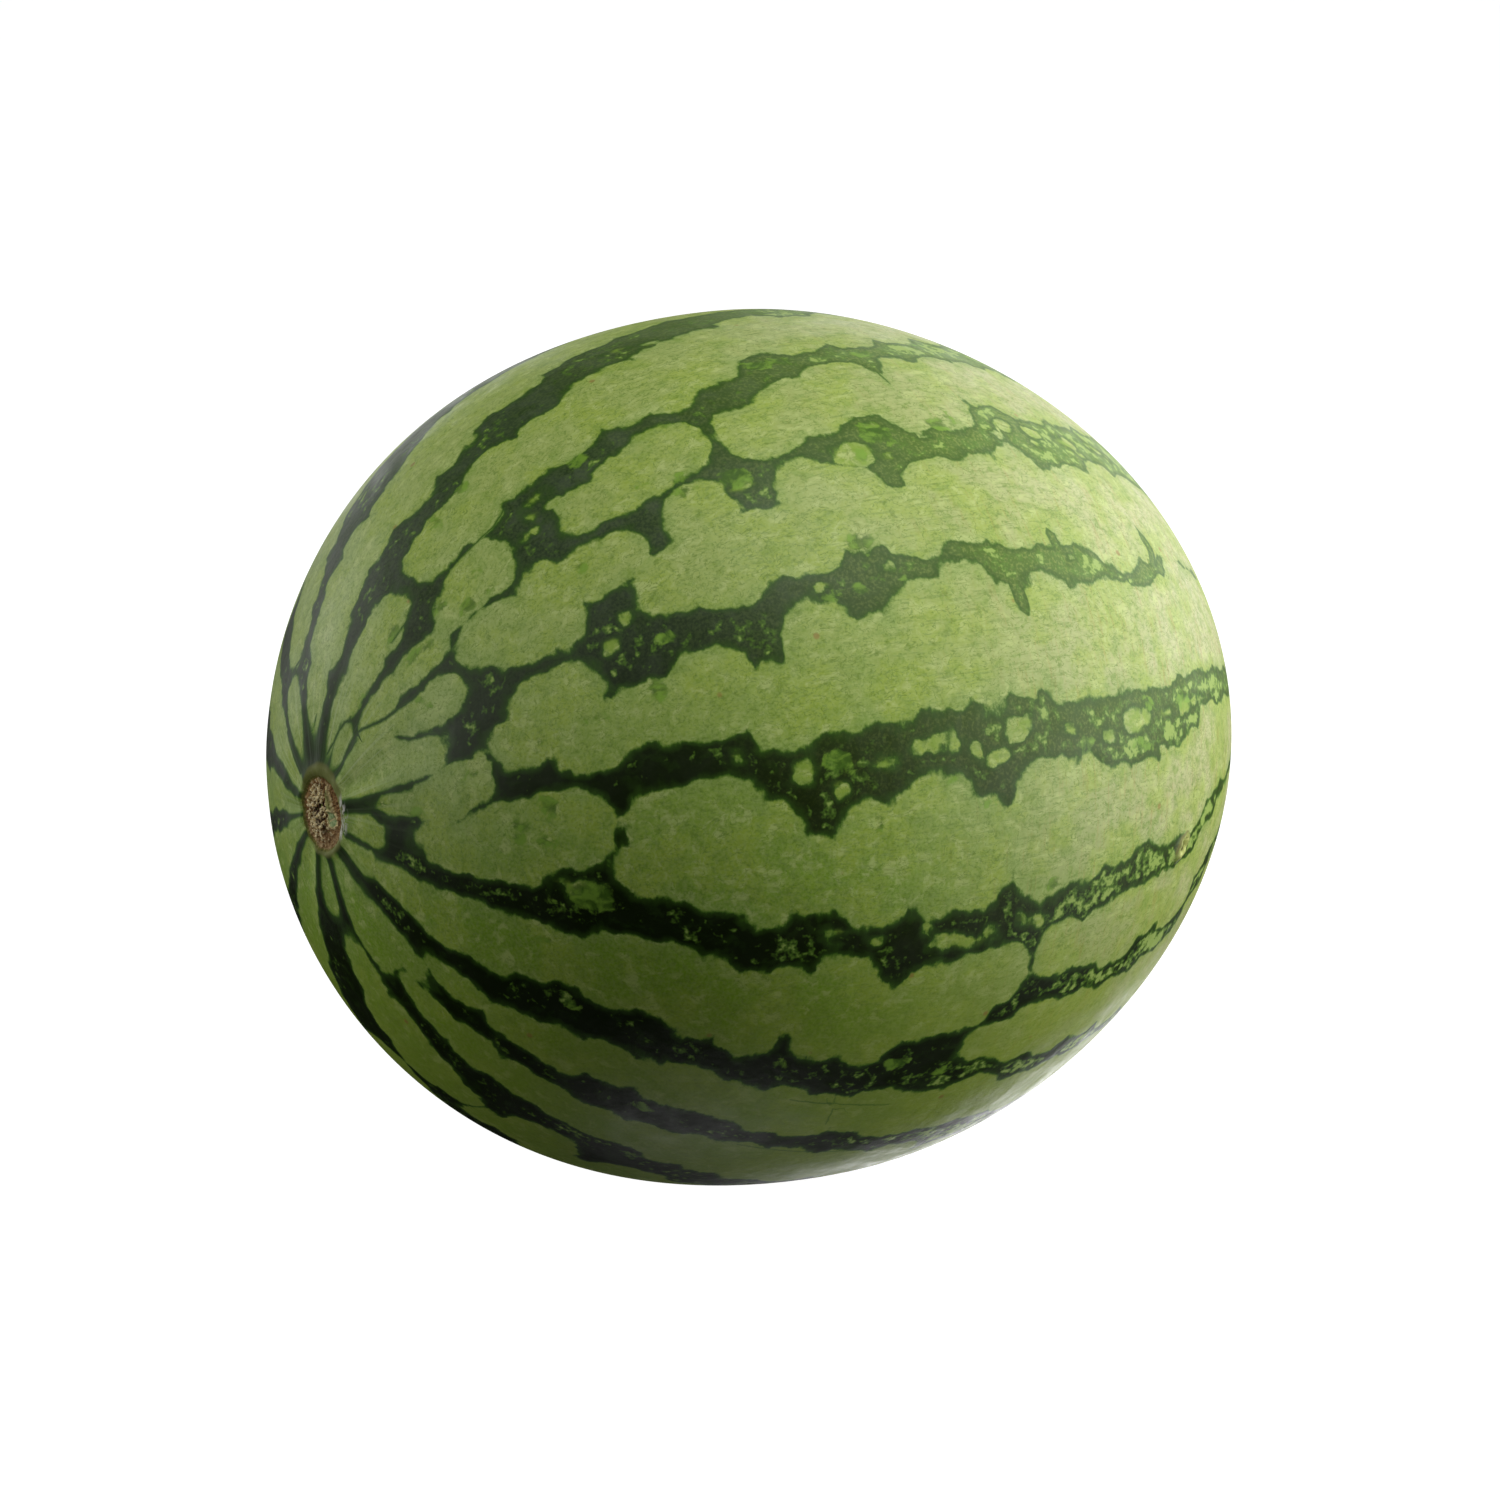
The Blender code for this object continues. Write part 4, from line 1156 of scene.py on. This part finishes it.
def tufts_tree():
    """Geometry Nodes that scatter lumpy crumbs over some faces, thickest where their tuft share is high."""
    tree = bpy.data.node_groups.new("cork_tufts", "GeometryNodeTree")
    tree.interface.new_socket("Geometry", in_out="INPUT", socket_type="NodeSocketGeometry")
    for name in ("Density", "Smallest", "Largest", "Lump Height", "Lump Scale"):
        tree.interface.new_socket(name, in_out="INPUT", socket_type="NodeSocketFloat")
    tree.interface.new_socket("Seed", in_out="INPUT", socket_type="NodeSocketInt")
    tree.interface.new_socket("Cork", in_out="INPUT", socket_type="NodeSocketMaterial")
    tree.interface.new_socket("Geometry", in_out="OUTPUT", socket_type="NodeSocketGeometry")
    given = add(tree, "NodeGroupInput").node.outputs
    share = add(tree, "GeometryNodeInputNamedAttribute", {"Name": "tuft"}, data_type="FLOAT")
    density = add(tree, "ShaderNodeMath", {0: share, 1: given["Density"]}, operation="MULTIPLY")
    spread = {"Mesh": given["Geometry"], "Density": density, "Seed": given["Seed"]}
    points = add(tree, "GeometryNodeDistributePointsOnFaces", spread)
    crumb = add(tree, "GeometryNodeMeshIcoSphere", {"Radius": 1.0, "Subdivisions": 2})
    sizes = {2: given["Smallest"], 3: given["Largest"], "Seed": given["Seed"]}
    size = add(tree, "FunctionNodeRandomValue", sizes, data_type="FLOAT")
    turns = {0: (0, 0, 0), 1: (6.28,) * 3, "Seed": given["Seed"]}
    turned = add(tree, "FunctionNodeRandomValue", turns, data_type="FLOAT_VECTOR")
    shape = add(tree, "ShaderNodeVectorMath", {0: (0.8, 0.8, 1.3), "Scale": size}, operation="SCALE")
    laid = {"Points": points, "Instance": crumb, "Rotation": turned, "Scale": shape}
    tufts = add(tree, "GeometryNodeInstanceOnPoints", laid)
    tufts = add(tree, "GeometryNodeRealizeInstances", {"Geometry": tufts})
    place = add(tree, "GeometryNodeInputPosition")
    lumps = add(tree, "ShaderNodeTexNoise", {"Vector": place, "Scale": given["Lump Scale"], "Detail": 2.0})
    lumps = add(tree, "ShaderNodeMath", {0: lumps, 1: 0.5}, operation="SUBTRACT")
    lumps = add(tree, "ShaderNodeMath", {0: lumps, 1: given["Lump Height"]}, operation="MULTIPLY")
    out = add(tree, "GeometryNodeInputNormal")
    push = add(tree, "ShaderNodeVectorMath", {0: out, "Scale": lumps}, operation="SCALE")
    tufts = add(tree, "GeometryNodeSetPosition", {"Geometry": tufts, "Offset": push})
    crest = {"Geometry": tufts, "Name": "crest", "Value": 1.0}
    tufts = add(tree, "GeometryNodeStoreNamedAttribute", crest, data_type="FLOAT")
    tufts = add(tree, "GeometryNodeSetShadeSmooth", {"Geometry": tufts})
    tufts = add(tree, "GeometryNodeSetMaterial", {"Geometry": tufts, "Material": given["Cork"]})
    add(tree, "NodeGroupOutput", {"Geometry": tufts})
    return tree


ground_of_tufts = stem_scar.data.copy()
thick = bell(np.hypot(across + 0.28, up * 0.75 - 0.02), 0.42) * (1 - smooth) * (reach < 0.85)
thick = np.clip(thick * 1.8 - 0.2, 0, 1)
keep(ground_of_tufts, {"tuft": thick})
tuft_sizes = {"Density": TUFT_DENSITY, "Smallest": TUFT_SMALLEST, "Largest": TUFT_LARGEST, "Seed": TUFT_SEED}
tuft_sizes.update({"Lump Height": TUFT_LUMP_HEIGHT, "Lump Scale": 1000 / TUFT_LUMP_MM, "Cork": cork_finish})
cork_tufts = made_by_nodes("cork_tufts", tufts_tree(), tuft_sizes, ground_of_tufts)
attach(cork_tufts, "root")
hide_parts("watermelon")


# The healed wound
# A small sting or knock that the young fruit closed with callus: a swollen yellow lip, longer than wide,
# round a dark pit, with a brown split that runs out of it both ways. It is one with the rind.
WOUND_RINGS = 60
WOUND_SPOKES = 120
WOUND_LEAN = math.radians(58)
WOUND_LIP = (0.0032, 0.0019)
WOUND_LIP_WIDTH = 0.0010
WOUND_LIP_HEIGHT = 0.0008
WOUND_PIT = (0.0015, 0.0010)
WOUND_PIT_ASIDE = 0.0005
WOUND_PIT_DEPTH = 0.0009
WOUND_SPLIT_WIDTH = 0.00022
WOUND_SPLIT_DEPTH = 0.00025
# How far the split wavers to each side, and how quickly
WOUND_SPLIT_SWAY = 0.0003
WOUND_SPLIT_TURNS = 2600
# The callus and the brown ring outside the lip, in shares of the lip's size
CALLUS_REACH = 1.35
SCORCH_RING = 1.35
SCORCH_WIDTH = 0.14


def wound_patch():
    """A round patch of rind about the wound, with its lip, pit and split and what colours them."""
    rims = WOUND_CAP * np.arange(1, WOUND_RINGS + 1) / WOUND_RINGS
    angles = np.arange(WOUND_SPOKES) * 2 * math.pi / WOUND_SPOKES
    out = np.concatenate([[0.0], np.repeat(rims, WOUND_SPOKES)])
    angle = np.concatenate([[0.0], np.tile(angles, WOUND_RINGS)])
    along_it, round_it = out * np.cos(angle), out * np.sin(angle)
    here = profile(np.array([WOUND_POLAR - 0.001, WOUND_POLAR, WOUND_POLAR + 0.001]))
    run = math.hypot(here[0][2] - here[0][0], here[1][2] - here[1][0]) / 0.002
    polar = WOUND_POLAR + along_it / run
    turn = WOUND_TURN + round_it / here[1][1]
    lengthwise = round_it * math.cos(WOUND_LEAN) - along_it * math.sin(WOUND_LEAN)
    sideways = round_it * math.sin(WOUND_LEAN) + along_it * math.cos(WOUND_LEAN)
    lip = np.hypot(lengthwise / WOUND_LIP[0], sideways / WOUND_LIP[1])
    uneven = 1 + 0.35 * np.cos(angle - 2.6) + 0.15 * np.cos(5 * angle + 1)
    on_lip = bell(lip - 1, WOUND_LIP_WIDTH / WOUND_LIP[1]) * uneven
    pit = bell(np.hypot(lengthwise / WOUND_PIT[0], (sideways - WOUND_PIT_ASIDE) / WOUND_PIT[1]), 1.0)
    off_split = sideways + WOUND_SPLIT_SWAY * np.sin(lengthwise * WOUND_SPLIT_TURNS)
    split = bell(off_split, WOUND_SPLIT_WIDTH) * bell(lengthwise, WOUND_CAP * 0.7)
    height = WOUND_LIP_HEIGHT * on_lip - WOUND_PIT_DEPTH * pit - WOUND_SPLIT_DEPTH * split
    height -= CAP_RIM_DROP * dive_of_rim(out, WOUND_CAP)
    faces = fan_and_rings(WOUND_RINGS, WOUND_SPOKES)
    piece = piece_of_rind("healed_wound", on_rind(polar, turn, height), faces, polar, turn)
    ring = bell(lip - SCORCH_RING, SCORCH_WIDTH) * np.clip(-sideways * 700, 0, 1)
    shown = {
        "callus": bell(lip, CALLUS_REACH) * 1.2,
        "scorch": ring + split * (lengthwise > 0),
        "tear": np.maximum(pit * 1.4 - 0.2, split * 0.5),
    }
    keep(piece.data, shown)
    return piece


wound = wound_patch()
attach(wound, "root")
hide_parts("watermelon")


# The blossom scar
# At the other end the flower left a small round button of tan cork with a low rim, in a shallow dimple.
BLOSSOM_CAP_RINGS = 80
BLOSSOM_CAP_SPOKES = 160
BUTTON_GRAIN_MM = 0.7


def button_height(radius, turn):
    """Height of the button's cork above its plain rim: a pit in the middle and uneven grain round it."""
    in_button = inside_of(radius, BUTTON_RADIUS, BUTTON_RIM_WIDTH / 3)
    uneven = 0.00012 * np.cos(7 * turn + 900 * radius) + 0.0001 * np.cos(11 * turn - 1500 * radius + 1)
    return in_button * (uneven * np.clip(radius / 0.001, 0, 1) - 0.0005 * bell(radius, 0.0012))


def button_material():
    """Tan cork, drier and paler than the stem scar's, with a dark point where the flower's pillar stood."""
    material, tree, shader = new_finish("button_cork")
    place = add(tree, "ShaderNodeTexCoord").node.outputs["Object"]
    from_blossom = add(tree, "ShaderNodeAttribute", attribute_name="from_blossom").node.outputs["Fac"]
    grain = {"Vector": place, "Scale": 1000 / BUTTON_GRAIN_MM, "Detail": 4.0}
    found = add(tree, "ShaderNodeTexNoise", grain)
    share = add(tree, "ShaderNodeMapRange", {"Value": found, "From Min": 0.35, "From Max": 0.68})
    tints = {0: share, 6: linear("#6b4d2b"), 7: linear("#b59a67")}
    tan = add(tree, "ShaderNodeMix", tints, data_type="RGBA")
    dark = add(tree, "ShaderNodeMapRange", {"Value": from_blossom, "From Min": 1.3, "From Max": 0.6})
    worn = add(tree, "ShaderNodeMix", {0: dark, 6: tan, 7: linear("#2c1c10")}, data_type="RGBA")
    tree.links.new(worn, shader.inputs["Base Color"])
    shader.inputs["Roughness"].default_value = 0.8
    shader.inputs["IOR"].default_value = 1.4
    grit = add(tree, "ShaderNodeBump", {"Height": found, "Strength": 0.6, "Distance": 0.0002})
    tree.links.new(grit, shader.inputs["Normal"])
    return material


blossom_scar, radius, turn = end_cap(
    "blossom_scar", False, BLOSSOM_CAP, BLOSSOM_CAP_RINGS, BLOSSOM_CAP_SPOKES, button_height
)
blossom_scar.data.materials.append(button_material())
for face in blossom_scar.data.polygons:
    face.material_index = int(min(radius[index] for index in face.vertices) < BUTTON_RADIUS)
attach(blossom_scar, "root")
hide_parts("watermelon")
